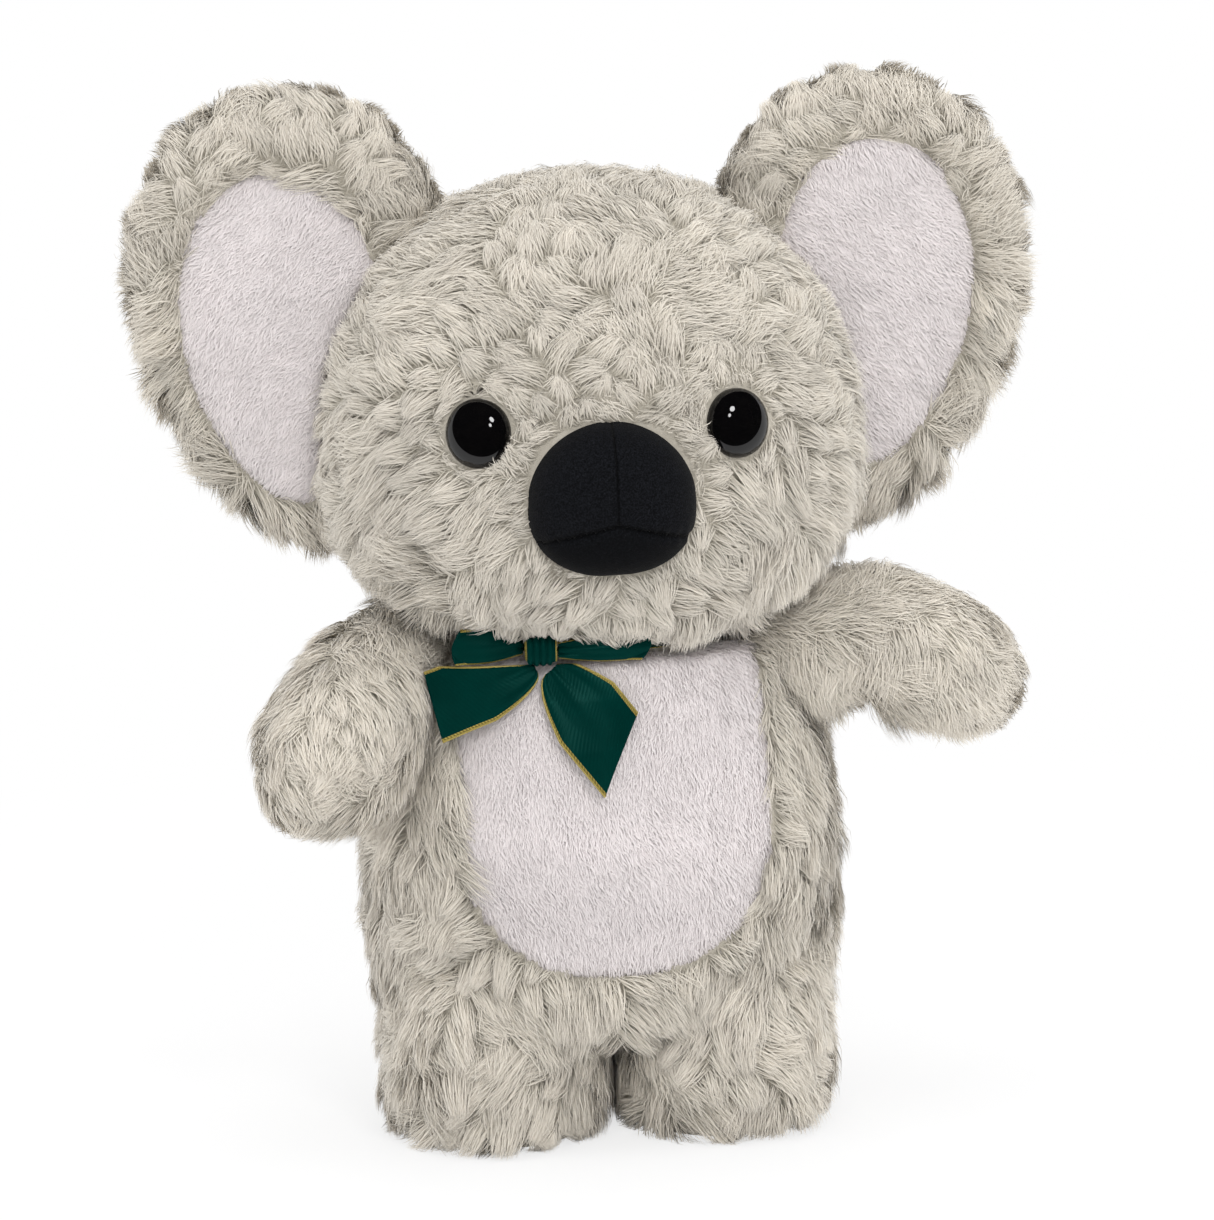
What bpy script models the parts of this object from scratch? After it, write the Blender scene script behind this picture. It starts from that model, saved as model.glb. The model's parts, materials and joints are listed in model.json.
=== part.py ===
"""Plush koala, standing, in metres with +Z up.

The koala faces -Y, so its left side is at +X. The origin lies on the ground under the middle of
the toy's outline. Every stuffed form is a fabric cover with its own thickness, a hollow inside it
and a filling in the hollow. A form is a stack of rings, and one inset of the same rings makes the
hollow and the filling, so that covers, hollows and fillings always nest.
"""

import math

import bmesh
import bpy
from mathutils import Matrix, Vector

# Fabric, filling and clearances
COVER_THICKNESS = 0.004
SHORT_PILE_STEP = 0.0015
SEAM_GAP = 0.0004
PANEL_GAP = 0.0003
SWING_GAP = 0.0009
PRESS_GAP = 0.0030
OVERRUN = 0.003

# Neck, a flat joint in a round recess of the head's underside
NECK_Z = 0.1500
NECK_RADIUS = 0.0360
NECK_HEIGHT = 0.0090
NECK_ROOT_Z = NECK_Z - NECK_HEIGHT

# Head, a rounded box that is widest below its middle and is seated over the neck
HEAD_HALF_WIDTH = 0.0723
HEAD_HALF_DEPTH = 0.0600
HEAD_RISE = 0.0765
HEAD_DROP = 0.0488
HEAD_SEAT_DEPTH = 0.0068
HEAD_WIDEST_Z = NECK_Z - HEAD_SEAT_DEPTH + HEAD_DROP
HEAD_PLAN_POWER = 2.3
HEAD_RISE_POWER = 2.2
HEAD_DROP_POWER = 2.25
HEAD_CHIN_POWER = 3.5

# Torso
TORSO_BOTTOM_Z = 0.0330
TORSO_HALF_WIDTH = 0.0645
TORSO_HALF_DEPTH = 0.0480
TORSO_PLAN_POWER = 2.3
SHOULDER_DROP = 0.0020
SHOULDER_Z = NECK_ROOT_Z - SHOULDER_DROP
SHOULDER_HALF_WIDTH = 0.0500
SHOULDER_HALF_DEPTH = 0.0400
# Between hem and shoulder, the share of the height, and shares of the largest width and depth
TORSO_LEVEL_SHARES = (
    (0.00, 0.74, 0.72),
    (0.02, 0.86, 0.84),
    (0.08, 0.955, 0.95),
    (0.20, 0.995, 0.99),
    (0.42, 1.00, 1.00),
    (0.62, 0.985, 0.995),
    (0.78, 0.935, 0.965),
    (0.91, 0.865, 0.905),
)

# White belly panel, seen from the front
BELLY_HALF_WIDTH = 0.0435
BELLY_BOTTOM_RISE = 0.0175
BELLY_BOTTOM_Z = TORSO_BOTTOM_Z + BELLY_BOTTOM_RISE
BELLY_ROUND_HEIGHT = 0.0445
BELLY_WIDEST_Z = BELLY_BOTTOM_Z + BELLY_ROUND_HEIGHT
BELLY_TOP_DROP = 0.0030
BELLY_TOP_Z = SHOULDER_Z - BELLY_TOP_DROP
BELLY_TOP_HALF_WIDTH = 0.0400
BELLY_POWER = 2.4

# Arms, one pattern for both sides. The right one is also raised forward.
ARM_LENGTH = 0.0600
ARM_ROOT_RADIUS = 0.0185
ARM_SWELL_SHARE = 0.07
ARM_TIP_POWER = 4.6
ARM_TIP_INSET_POWER = 6.0
ARM_BEND_DEG = 18.0
ARM_FORWARD_DEG = 10.0
ARM_ROOT_HOLE_RADIUS = 0.0085
ARM_MOUTH_OUT = 0.0060
ARM_MOUTH_RADIUS = 0.0225
ARM_RIGHT_MOUTH_FORWARD = 0.0045
SHOULDER_PIVOT_INSET = 0.0085
SHOULDER_PIVOT_DROP = 0.0045
SHOULDER_PIVOT_FORWARD = 0.0080
ARM_LEFT_SWING_DEG = 80.0
ARM_RIGHT_SWING_DEG = 41.5
ARM_RIGHT_RAISE_DEG = 34.0
ARM_LEFT_LOW_SWING_DEG = 21.0
ARM_TOP_SWING_DEG = 105.0

# Legs and soles
LEG_SPACING = 0.0630
LEG_HALF_WIDTH = 0.0300
LEG_HALF_DEPTH = 0.0410
LEG_FORWARD = 0.0020
LEG_LAP = 0.0190
LEG_TOP_Z = TORSO_BOTTOM_Z + LEG_LAP
LEG_PLAN_POWER = 2.3
SOLE_THICKNESS = 0.0020
SOLE_SHARE = 0.80
# Between sole and top, the share of the height, and the share of the leg's width and depth
LEG_LEVEL_SHARES = (
    (0.00, 0.80),
    (0.05, 0.88),
    (0.14, 0.955),
    (0.32, 1.00),
    (0.60, 1.00),
    (0.85, 0.975),
    (1.00, 0.93),
)

# Ears
EAR_HALF_WIDTH = 0.0450
EAR_HALF_HEIGHT = 0.0620
EAR_THICKNESS = 0.0210
EAR_EDGE_RADIUS = 0.0120
EAR_DOME = 0.0015
EAR_POWER = 2.2
EAR_LEAN_DEG = 5.0
EAR_TAPER_SHARE = 0.40
EAR_TAPER_START = 0.0180
EAR_TAPER_POWER = 1.5
EAR_PROUD = 0.0077
EAR_OUT = HEAD_HALF_WIDTH + EAR_PROUD
EAR_RISE = 0.0410
EAR_CENTRE_Z = HEAD_WIDEST_Z + EAR_RISE
EAR_BACK = 0.0080
EAR_COVER_THICKNESS = 0.0030
EAR_RIM_WIDTH = 0.0150
EAR_ROOT_RISE = 0.0660
EAR_ROOT_TOP_Z = HEAD_WIDEST_Z + EAR_ROOT_RISE
EAR_ROOT_DROP = 0.0180
EAR_ROOT_BOTTOM_Z = HEAD_WIDEST_Z - EAR_ROOT_DROP
EAR_AXIS_OUT = 0.0080
EAR_FOLD_DEG = 18.0

# Nose
NOSE_HALF_WIDTH = 0.0230
NOSE_HALF_HEIGHT = 0.0215
NOSE_DROP = 0.0050
NOSE_Z = HEAD_WIDEST_Z - NOSE_DROP
NOSE_REACH = 0.0210
NOSE_PROUD = 0.0170
NOSE_TIP_FORWARD = HEAD_HALF_DEPTH + NOSE_PROUD
NOSE_POWER = 2.5
NOSE_DOME_POWER = 2.3
NOSE_TOP_TAPER_SHARE = 0.10
NOSE_FABRIC = 0.0015
NOSE_SEAM_DROP = 0.0055
NOSE_SEAM_JOIN_Z = NOSE_Z - NOSE_SEAM_DROP
NOSE_SEAM_FALL = 0.0058

# Safety eyes, with their washers behind the fabric
EYE_SPACING = 0.0690
EYE_RISE = 0.0130
EYE_Z = HEAD_WIDEST_Z + EYE_RISE
EYE_RADIUS = 0.0090
EYE_HEIGHT = 0.0065
EYE_EDGE = 0.0010
EYE_STEM_RADIUS = 0.0020
EYE_STEM_LENGTH = 0.0120
EYE_HOLE_RADIUS = 0.0024
WASHER_RADIUS = 0.0080
WASHER_THICKNESS = 0.0016
WASHER_DEPTH = 0.0050

# Ribbon round the neck, and its bow
RIBBON_THICKNESS = 0.0006
RIBBON_LIFT = 0.0008
BAND_THICKNESS = 0.0022
BAND_HEIGHT = 0.0040
BAND_BOTTOM_Z = NECK_ROOT_Z + SEAM_GAP
KNOT_X = -0.0190
KNOT_DROP = 0.0019
KNOT_Z = BAND_BOTTOM_Z + BAND_HEIGHT / 2 - KNOT_DROP
KNOT_LENGTH = 0.0085
KNOT_HEIGHT = 0.0080
KNOT_DEPTH = 0.0060
KNOT_POWER = 3
LOOP_HEIGHT = 0.0070
LOOP_DEPTH = 0.0042
LOOP_LEFT_END_X = 0.0110
LOOP_RIGHT_END_X = -0.0430
# A tail's width, length, angle from hanging, slant of its cut, and place of its root
TAIL_LEFT_WIDTH = 0.0215
TAIL_LEFT_LENGTH = 0.0281
TAIL_LEFT_ANGLE_DEG = 39.5
TAIL_LEFT_CUT = -0.0060
TAIL_LEFT_ROOT_X = -0.0140
TAIL_RIGHT_WIDTH = 0.0170
TAIL_RIGHT_LENGTH = 0.0275
TAIL_RIGHT_ANGLE_DEG = -73.0
TAIL_RIGHT_CUT = 0.0012
TAIL_RIGHT_ROOT_X = -0.0235
TAIL_ROOT_WIDTH = 0.0040
TAIL_FLATNESS_SHARE = 0.7

# Facets
HEAD_AROUND, HEAD_LEVELS = 24, 12
TORSO_AROUND = 24
CORE_AROUND, CORE_LEVELS = 16, 7
ARM_AROUND, ARM_LEVELS = 16, 8
LEG_AROUND = 14
EAR_AROUND, EAR_LEVELS = 24, 4
NOSE_AROUND, NOSE_LEVELS = 22, 5
EYE_AROUND, EYE_LEVELS = 16, 4
RING_AROUND = 30
BELLY_STEPS = 14
KNOT_AROUND, KNOT_LEVELS = 12, 6
LOOP_STEPS = 7
TAIL_ROWS, TAIL_COLUMNS = 9, 5
# Steps of the swing and of the press at which the arm is tried against the torso
SWING_STEPS = 14
PRESS_STEP_SHARE = 0.02
PRESS_SPREAD_SHARE = 0.25
# Shares of an ear's fold at which the ear is cut clear of the head
FOLD_SHARES = (-1.0, 0.0, 1.0)

# The middle of the outline lies between the nose's tip and the back of the head
BODY_Y = NOSE_PROUD / 2

LONG_PILE = ("long_pile", (0.60, 0.58, 0.50), 0.95)
SHORT_PILE = ("short_pile", (0.80, 0.75, 0.77), 0.9)
FIBRE = ("fibre", (0.90, 0.90, 0.88), 0.95)
NOSE_CLOTH = ("nose_cloth", (0.012, 0.013, 0.016), 0.8)
EYE_PLASTIC = ("eye_plastic", (0.006, 0.006, 0.007), 0.08)
WASHER_PLASTIC = ("washer_plastic", (0.75, 0.76, 0.77), 0.4)
SATIN = ("satin", (0.004, 0.055, 0.035), 0.35)
SOLE_CLOTH = ("sole_cloth", (0.55, 0.53, 0.46), 0.95)


def clear_scene():
    for leftover in list(bpy.data.objects):
        bpy.data.objects.remove(leftover)


def material(finish):
    name, colour, roughness = finish
    made = bpy.data.materials.get(name)
    if made is None:
        made = bpy.data.materials.new(name)
        made.use_nodes = True
        shader = made.node_tree.nodes["Principled BSDF"]
        shader.inputs["Base Color"].default_value = (*colour, 1.0)
        shader.inputs["Roughness"].default_value = roughness
        shader.inputs["Metallic"].default_value = 0.0
    return made


def new_object(name, vertices, faces):
    mesh = bpy.data.meshes.new(name)
    mesh.from_pydata([tuple(v) for v in vertices], [], faces)
    work = bmesh.new()
    work.from_mesh(mesh)
    bmesh.ops.recalc_face_normals(work, faces=work.faces)
    work.to_mesh(mesh)
    work.free()
    made = bpy.data.objects.new(name, mesh)
    bpy.context.scene.collection.objects.link(made)
    return made


def stacked(name, rings, low_tip=None, high_tip=None):
    """Closed body through rings of equal length, each end drawn to a tip or to its middle.

    Its sides are split the same way in every body, so that bodies from inset rings nest.
    """
    around = len(rings[0])
    vertices = [point for ring in rings for point in ring]
    faces = []
    for level in range(len(rings) - 1):
        for k in range(around):
            a = level * around + k
            b = level * around + (k + 1) % around
            faces.append((a, b, b + around))
            faces.append((a, b + around, a + around))
    for ring, tip in ((0, low_tip), (len(rings) - 1, high_tip)):
        middle = sum((Vector(p) for p in rings[ring]), Vector()) / around
        vertices.append(middle if tip is None else tip)
        for k in range(around):
            a = ring * around + k
            b = ring * around + (k + 1) % around
            faces.append((a, b, len(vertices) - 1))
    return new_object(name, vertices, faces)


def turned_ring(name, section, around, centre_y):
    """Ring about the vertical axis, from a closed section of (radius, z) points."""
    vertices = []
    faces = []
    count = len(section)
    for k in range(around):
        turn = 2 * math.pi * k / around
        for radius, z in section:
            vertices.append((radius * math.cos(turn), centre_y + radius * math.sin(turn), z))
    for k in range(around):
        for j in range(count):
            a = k * count + j
            b = k * count + (j + 1) % count
            c = (k + 1) % around * count + (j + 1) % count
            d = (k + 1) % around * count + j
            faces.append((a, b, c, d))
    return new_object(name, vertices, faces)


def signed_power(value, power):
    return math.copysign(abs(value) ** power, value)


def superellipse(around, half_a, half_b, power):
    points = []
    for k in range(around):
        turn = 2 * math.pi * k / around
        a = half_a * signed_power(math.cos(turn), 2 / power)
        b = half_b * signed_power(math.sin(turn), 2 / power)
        points.append((a, b))
    return points


def fall(share, power):
    """Share of a half width that is left at a share of the way to the tip."""
    return max(0.0, 1 - abs(share) ** power) ** (1 / power)


def inset_profile(profile, inset):
    """Moves a profile of (z, half width, half depth, power) rings inward, square to its outline."""
    moved = []
    for k, (z, width, depth, power) in enumerate(profile):
        low = profile[max(0, k - 1)]
        high = profile[min(len(profile) - 1, k + 1)]
        rise = high[0] - low[0]
        along_width = math.hypot(rise, high[1] - low[1])
        along_depth = math.hypot(rise, high[2] - low[2])
        drop = ((high[1] - low[1]) / along_width + (high[2] - low[2]) / along_depth) / 2
        moved.append((
            z + inset * drop,
            width - inset * rise / along_width,
            depth - inset * rise / along_depth,
            power,
        ))
    return moved


def upright(name, profile, around, centre, low_tip_z=None, high_tip_z=None):
    """Body of level rings about a vertical line through centre, which is (x, y)."""
    rings = []
    for z, width, depth, power in profile:
        outline = superellipse(around, width, depth, power)
        rings.append([Vector((centre[0] + a, centre[1] + b, z)) for a, b in outline])
    tips = []
    for tip_z in (low_tip_z, high_tip_z):
        tips.append(None if tip_z is None else Vector((centre[0], centre[1], tip_z)))
    return stacked(name, rings, *tips)


def bake(target):
    depsgraph = bpy.context.evaluated_depsgraph_get()
    depsgraph.update()
    mesh = bpy.data.meshes.new_from_object(target.evaluated_get(depsgraph))
    old = target.data
    target.modifiers.clear()
    target.data = mesh
    bpy.data.meshes.remove(old)


def combine(target, tools, operation="DIFFERENCE"):
    """Cuts or keeps target by each tool in turn, and removes the tools."""
    for tool in tools:
        modifier = target.modifiers.new("shape", "BOOLEAN")
        modifier.operation = operation
        modifier.solver = "EXACT"
        modifier.object = tool
        bake(target)
        bpy.data.objects.remove(tool)
    return target


def copy_of(source, name="copy"):
    made = bpy.data.objects.new(name, source.data.copy())
    made.matrix_world = source.matrix_world.copy()
    bpy.context.scene.collection.objects.link(made)
    return made


def moved(piece, matrix):
    """Moves a piece's own mesh."""
    piece.data.transform(matrix)
    if matrix.determinant() < 0:
        piece.data.flip_normals()
    return piece


def about(point, axis, degrees):
    """Turn by degrees about a line through point."""
    turn = Matrix.Rotation(math.radians(degrees), 4, Vector(axis))
    return Matrix.Translation(point) @ turn @ Matrix.Translation(-Vector(point))


def finished(piece, name, finish, parent=None, sharp_deg=40.0):
    """Gives a piece its name, its material, its shading and its place on a body."""
    piece.name = name
    piece.data.name = name
    piece.data.materials.clear()
    piece.data.materials.append(material(finish))
    piece.data.shade_smooth()
    piece.data.set_sharp_from_angle(angle=math.radians(sharp_deg))
    if parent is not None:
        piece.parent = parent
        piece.matrix_parent_inverse = parent.matrix_world.inverted()
    return piece


def pivot(name, place, parent=None):
    """Empty on a joint's axis, which carries the pieces that turn about it."""
    empty = bpy.data.objects.new(name, None)
    bpy.context.scene.collection.objects.link(empty)
    empty.location = place
    bpy.context.view_layer.update()
    if parent is not None:
        empty.parent = parent
        empty.matrix_parent_inverse = parent.matrix_world.inverted()
        bpy.context.view_layer.update()
    return empty


def mirrored_side(piece, side):
    return piece if side > 0 else moved(piece, Matrix.Scale(-1, 4, Vector((1, 0, 0))))


def side_name(side):
    return "left" if side > 0 else "right"


# Head

def head_profile(inset, levels):
    """Level rings of the head from just over the chin to just under the crown."""
    profile = []
    for k in range(1, levels):
        turn = math.pi * (k / levels - 1 / 2)
        share = math.sin(turn)
        if share < 0:
            z = HEAD_WIDEST_Z + share * (HEAD_DROP - inset)
            width = fall(share, HEAD_DROP_POWER)
            depth = fall(share, HEAD_CHIN_POWER)
        else:
            z = HEAD_WIDEST_Z + share * (HEAD_RISE - inset)
            width = depth = fall(share, HEAD_RISE_POWER)
        profile.append((
            z,
            width * (HEAD_HALF_WIDTH - inset),
            depth * (HEAD_HALF_DEPTH - inset),
            HEAD_PLAN_POWER,
        ))
    return profile


def head_form(inset=0.0, around=HEAD_AROUND, levels=HEAD_LEVELS):
    return upright(
        "head_form",
        head_profile(inset, levels),
        around,
        (0, BODY_Y),
        HEAD_WIDEST_Z - HEAD_DROP + inset,
        HEAD_WIDEST_Z + HEAD_RISE - inset,
    )


def head_core(inset):
    """The head's hollow, or what lies in it, with fewer facets."""
    return head_form(inset, CORE_AROUND, CORE_LEVELS)


def head_half_width(z):
    if z > HEAD_WIDEST_Z:
        return HEAD_HALF_WIDTH * fall((z - HEAD_WIDEST_Z) / HEAD_RISE, HEAD_RISE_POWER)
    return HEAD_HALF_WIDTH * fall((HEAD_WIDEST_Z - z) / HEAD_DROP, HEAD_DROP_POWER)


def head_half_depth(z):
    if z > HEAD_WIDEST_Z:
        return HEAD_HALF_DEPTH * fall((z - HEAD_WIDEST_Z) / HEAD_RISE, HEAD_RISE_POWER)
    return HEAD_HALF_DEPTH * fall((HEAD_WIDEST_Z - z) / HEAD_DROP, HEAD_CHIN_POWER)


def face_point(x, z):
    """Point of the head's front under (x, z)."""
    reach = fall(x / head_half_width(z), HEAD_PLAN_POWER)
    return Vector((x, BODY_Y - head_half_depth(z) * reach, z))


def neck_cylinder(radius, low, high):
    return upright(
        "neck_cylinder",
        [(low, radius, radius, 2), (high, radius, radius, 2)],
        RING_AROUND,
        (0, BODY_Y),
    )


# Safety eyes

def eye_frame(side):
    """Places local +Z along the head's outward direction at the eye, with its root on the fabric."""
    x, z = EYE_SPACING / 2, EYE_Z
    step = EYE_RADIUS / 2
    across = face_point(x + step, z) - face_point(x - step, z)
    up = face_point(x, z + step) - face_point(x, z - step)
    out = across.cross(up).normalized()
    level = Vector((0, 0, 1)).cross(out).normalized()
    rise = out.cross(level)
    frame = Matrix((level, rise, out)).transposed().to_4x4()
    frame.translation = face_point(x, z) + out * SEAM_GAP
    return Matrix.Scale(side, 4, Vector((1, 0, 0))) @ frame


def round_body(name, outline, around):
    """Turned body about +Z, from (radius, z) points between two tips on the axis."""
    rings = []
    for radius, z in outline[1:-1]:
        rings.append([Vector((a, b, z)) for a, b in superellipse(around, radius, radius, 2)])
    tips = [Vector((0, 0, outline[0][1])), Vector((0, 0, outline[-1][1]))]
    return stacked(name, rings, *tips)


def make_eye(side, body):
    dome = [(EYE_RADIUS, EYE_EDGE)]
    for k in range(1, EYE_LEVELS):
        turn = math.pi / 2 * k / EYE_LEVELS
        height = EYE_EDGE + (EYE_HEIGHT - EYE_EDGE) * math.sin(turn)
        dome.append((EYE_RADIUS * math.cos(turn), height))
    outline = [
        (0, -EYE_STEM_LENGTH),
        (EYE_STEM_RADIUS, -EYE_STEM_LENGTH),
        (EYE_STEM_RADIUS, 0),
        (EYE_RADIUS, 0),
        *dome,
        (0, EYE_HEIGHT),
    ]
    frame = eye_frame(side)
    eye = moved(round_body("eye", outline, EYE_AROUND), frame)
    finished(eye, f"eye_{side_name(side)}", EYE_PLASTIC, body)
    top = -WASHER_DEPTH
    bottom = top - WASHER_THICKNESS
    section = [
        (EYE_HOLE_RADIUS, bottom),
        (WASHER_RADIUS, bottom),
        (WASHER_RADIUS, top),
        (EYE_HOLE_RADIUS, top),
    ]
    washer = moved(turned_ring("washer", section, EYE_AROUND, 0), frame)
    finished(washer, f"eye_washer_{side_name(side)}", WASHER_PLASTIC, body)


def stem_hole(side):
    depth = EYE_STEM_LENGTH + SEAM_GAP
    outline = [
        (0, -depth), (EYE_HOLE_RADIUS, -depth), (EYE_HOLE_RADIUS, OVERRUN), (0, OVERRUN)
    ]
    return moved(round_body("stem_hole", outline, EYE_AROUND), eye_frame(side))


def washer_pocket(side, top, bottom):
    """Cutter of the washer's outline between two heights along the eye's stem."""
    radius = WASHER_RADIUS + SEAM_GAP
    outline = [(0, bottom), (radius, bottom), (radius, top), (0, top)]
    return moved(round_body("washer_pocket", outline, EYE_AROUND), eye_frame(side))


def make_head(body):
    seat = SEAM_GAP - WASHER_DEPTH
    bottom = seat - WASHER_THICKNESS - SEAM_GAP * 2
    recess = neck_cylinder(NECK_RADIUS + SEAM_GAP, NECK_Z - NECK_RADIUS, NECK_Z + SEAM_GAP)
    hollows = [head_core(COVER_THICKNESS), recess]
    for side in (1, -1):
        hollows += [stem_hole(side), washer_pocket(side, seat, bottom - OVERRUN)]
    finished(combine(head_form(), hollows), "head_cover", LONG_PILE, body)
    recess = neck_cylinder(NECK_RADIUS * 2, NECK_Z - NECK_RADIUS, NECK_Z + SEAM_GAP)
    hollows = [recess]
    for side in (1, -1):
        hollows += [stem_hole(side), washer_pocket(side, OVERRUN, bottom)]
    filling = combine(head_core(COVER_THICKNESS + SEAM_GAP), hollows)
    finished(filling, "head_filling", FIBRE, body)


# Nose

def nose_form(inset, back=0.0):
    """Dome of the nose, whose root runs back into the head."""
    centre_y = BODY_Y - NOSE_TIP_FORWARD + NOSE_REACH
    rings = []
    for k in range(-1, NOSE_LEVELS):
        turn = math.pi / 2 * max(k, 0) / NOSE_LEVELS
        share = math.sin(turn)
        y = centre_y - share * (NOSE_REACH - inset)
        if k < 0:
            y = centre_y + NOSE_REACH + back
        scale = fall(share, NOSE_DOME_POWER)
        ring = []
        width, height = NOSE_HALF_WIDTH - inset, NOSE_HALF_HEIGHT - inset
        for a, b in superellipse(NOSE_AROUND, width, height, NOSE_POWER):
            taper = 1 - NOSE_TOP_TAPER_SHARE * b / height
            ring.append(Vector((scale * a * taper, y, NOSE_Z + scale * b)))
        rings.append(ring)
    return stacked("nose", rings, None, Vector((0, centre_y - NOSE_REACH + inset, NOSE_Z)))


def front_prism(name, outline):
    """Prism along Y through the whole toy, from (x, z) points."""
    reach = HEAD_HALF_DEPTH * 3
    rings = [[Vector((x, y, z)) for x, z in outline] for y in (BODY_Y - reach, BODY_Y + reach)]
    return stacked(name, rings)


def nose_seam(x):
    """Height of the slanting seams that part the lower panel from the two upper ones."""
    return NOSE_SEAM_JOIN_Z - NOSE_SEAM_FALL * abs(x) / NOSE_HALF_WIDTH


def make_nose(body):
    wide = NOSE_HALF_WIDTH + NOSE_HALF_HEIGHT
    half_gap = PANEL_GAP / 2
    seam = [(x, nose_seam(x)) for x in (-wide, -wide / 2, 0, wide / 2, wide)]
    low_z, high_z = NOSE_Z - wide, NOSE_Z + wide
    lower = [(x, z - half_gap) for x, z in seam] + [(wide, low_z), (-wide, low_z)]
    left = [(half_gap, nose_seam(0) + half_gap)]
    left += [(x, z + half_gap) for x, z in seam if x > 0]
    left += [(wide, high_z), (half_gap, high_z)]
    right = [(-x, z) for x, z in reversed(left)]
    fabric = combine(nose_form(0), [nose_form(NOSE_FABRIC, OVERRUN), head_form(-SEAM_GAP)])
    for name, outline in (("upper_left", left), ("upper_right", right), ("lower", lower)):
        panel = combine(copy_of(fabric), [front_prism("panel", outline)], "INTERSECT")
        finished(panel, f"nose_panel_{name}", NOSE_CLOTH, body)
    bpy.data.objects.remove(fabric)
    filling = combine(nose_form(NOSE_FABRIC + SEAM_GAP), [head_form(-SEAM_GAP)])
    finished(filling, "nose_filling", FIBRE, body)


# Torso

def torso_profile():
    profile = []
    height = SHOULDER_Z - TORSO_BOTTOM_Z
    for share, width, depth in TORSO_LEVEL_SHARES:
        profile.append((
            TORSO_BOTTOM_Z + share * height,
            width * TORSO_HALF_WIDTH,
            depth * TORSO_HALF_DEPTH,
            TORSO_PLAN_POWER,
        ))
    profile.append((SHOULDER_Z, SHOULDER_HALF_WIDTH, SHOULDER_HALF_DEPTH, TORSO_PLAN_POWER))
    return profile


def torso_form(inset=0.0, top_z=NECK_Z, around=TORSO_AROUND):
    neck_radius = NECK_RADIUS - inset
    profile = inset_profile(torso_profile(), inset)
    low = profile[0]
    profile[0] = (TORSO_BOTTOM_Z + inset, low[1], low[2], low[3])
    profile.append((NECK_ROOT_Z - inset, neck_radius, neck_radius, 2))
    profile.append((top_z, neck_radius, neck_radius, 2))
    return upright("torso_form", profile, around, (0, BODY_Y))


def torso_core(inset, top_z=NECK_Z):
    """The torso's hollow, or what lies in it, with fewer facets."""
    return torso_form(inset, top_z, CORE_AROUND)


def torso_size(z):
    """Half width, half depth and plan power of the torso at a height."""
    profile = torso_profile() + [
        (NECK_ROOT_Z, NECK_RADIUS, NECK_RADIUS, 2),
        (NECK_Z, NECK_RADIUS, NECK_RADIUS, 2),
    ]
    z = min(max(z, profile[0][0]), profile[-1][0])
    for low, high in zip(profile, profile[1:]):
        if z <= high[0]:
            break
    share = (z - low[0]) / (high[0] - low[0])
    width = low[1] + share * (high[1] - low[1])
    depth = low[2] + share * (high[2] - low[2])
    return width, depth, low[3]


def torso_front(x, z):
    """Y of the torso's front under (x, z)."""
    width, depth, power = torso_size(min(z, SHOULDER_Z))
    return BODY_Y - depth * fall(min(abs(x) / width, 1), power)


def in_torso(place, clearance):
    width, depth, power = torso_size(place.z)
    across = abs(place.x) / (width + clearance)
    along = abs(place.y - BODY_Y) / (depth + clearance)
    level = TORSO_BOTTOM_Z - clearance < place.z < NECK_Z + clearance
    return level and across**power + along**power < 1


def shoulder_place(side):
    x = side * (TORSO_HALF_WIDTH - SHOULDER_PIVOT_INSET)
    return Vector((x, BODY_Y - SHOULDER_PIVOT_FORWARD, SHOULDER_Z - SHOULDER_PIVOT_DROP))


def ball(centre, radius):
    rings = []
    for k in range(1, ARM_LEVELS):
        turn = math.pi * k / ARM_LEVELS
        ring_radius = radius * math.sin(turn)
        outline = superellipse(ARM_AROUND, ring_radius, ring_radius, 2)
        drop = radius * math.cos(turn)
        rings.append([centre + Vector((a, b, -drop)) for a, b in outline])
    tips = [centre - Vector((0, 0, radius)), centre + Vector((0, 0, radius))]
    return stacked("ball", rings, *tips)


def arm_sockets():
    """Cutters for the arm roots' sockets, each with a wider mouth that the swinging arm clears."""
    cutters = []
    for side in (1, -1):
        place = shoulder_place(side)
        forward = 0.0 if side > 0 else ARM_RIGHT_MOUTH_FORWARD
        outward = Vector((side * ARM_MOUTH_OUT, -forward, 0))
        cutters.append(ball(place, ARM_ROOT_RADIUS + SWING_GAP))
        cutters.append(ball(place + outward, ARM_MOUTH_RADIUS))
    return cutters


def belly_outline(margin):
    """Outline of the belly panel in (x, z), grown by a margin."""
    points = []
    half_width = BELLY_HALF_WIDTH + margin
    drop = BELLY_ROUND_HEIGHT + margin
    for k in range(BELLY_STEPS + 1):
        turn = math.pi * (1 + k / BELLY_STEPS)
        x = half_width * signed_power(math.cos(turn), 2 / BELLY_POWER)
        z = BELLY_WIDEST_Z + drop * signed_power(math.sin(turn), 2 / BELLY_POWER)
        points.append((x, z))
    top_half_width = BELLY_TOP_HALF_WIDTH + margin
    points.append((top_half_width, BELLY_TOP_Z + margin))
    points.append((-top_half_width, BELLY_TOP_Z + margin))
    return points


def front_half_prism(outline):
    """Prism from the torso's middle forward, from (x, z) points."""
    rings = []
    for y in (BODY_Y - TORSO_HALF_DEPTH * 2, BODY_Y):
        rings.append([Vector((x, y, z)) for x, z in outline])
    return stacked("front_prism", rings)


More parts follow.
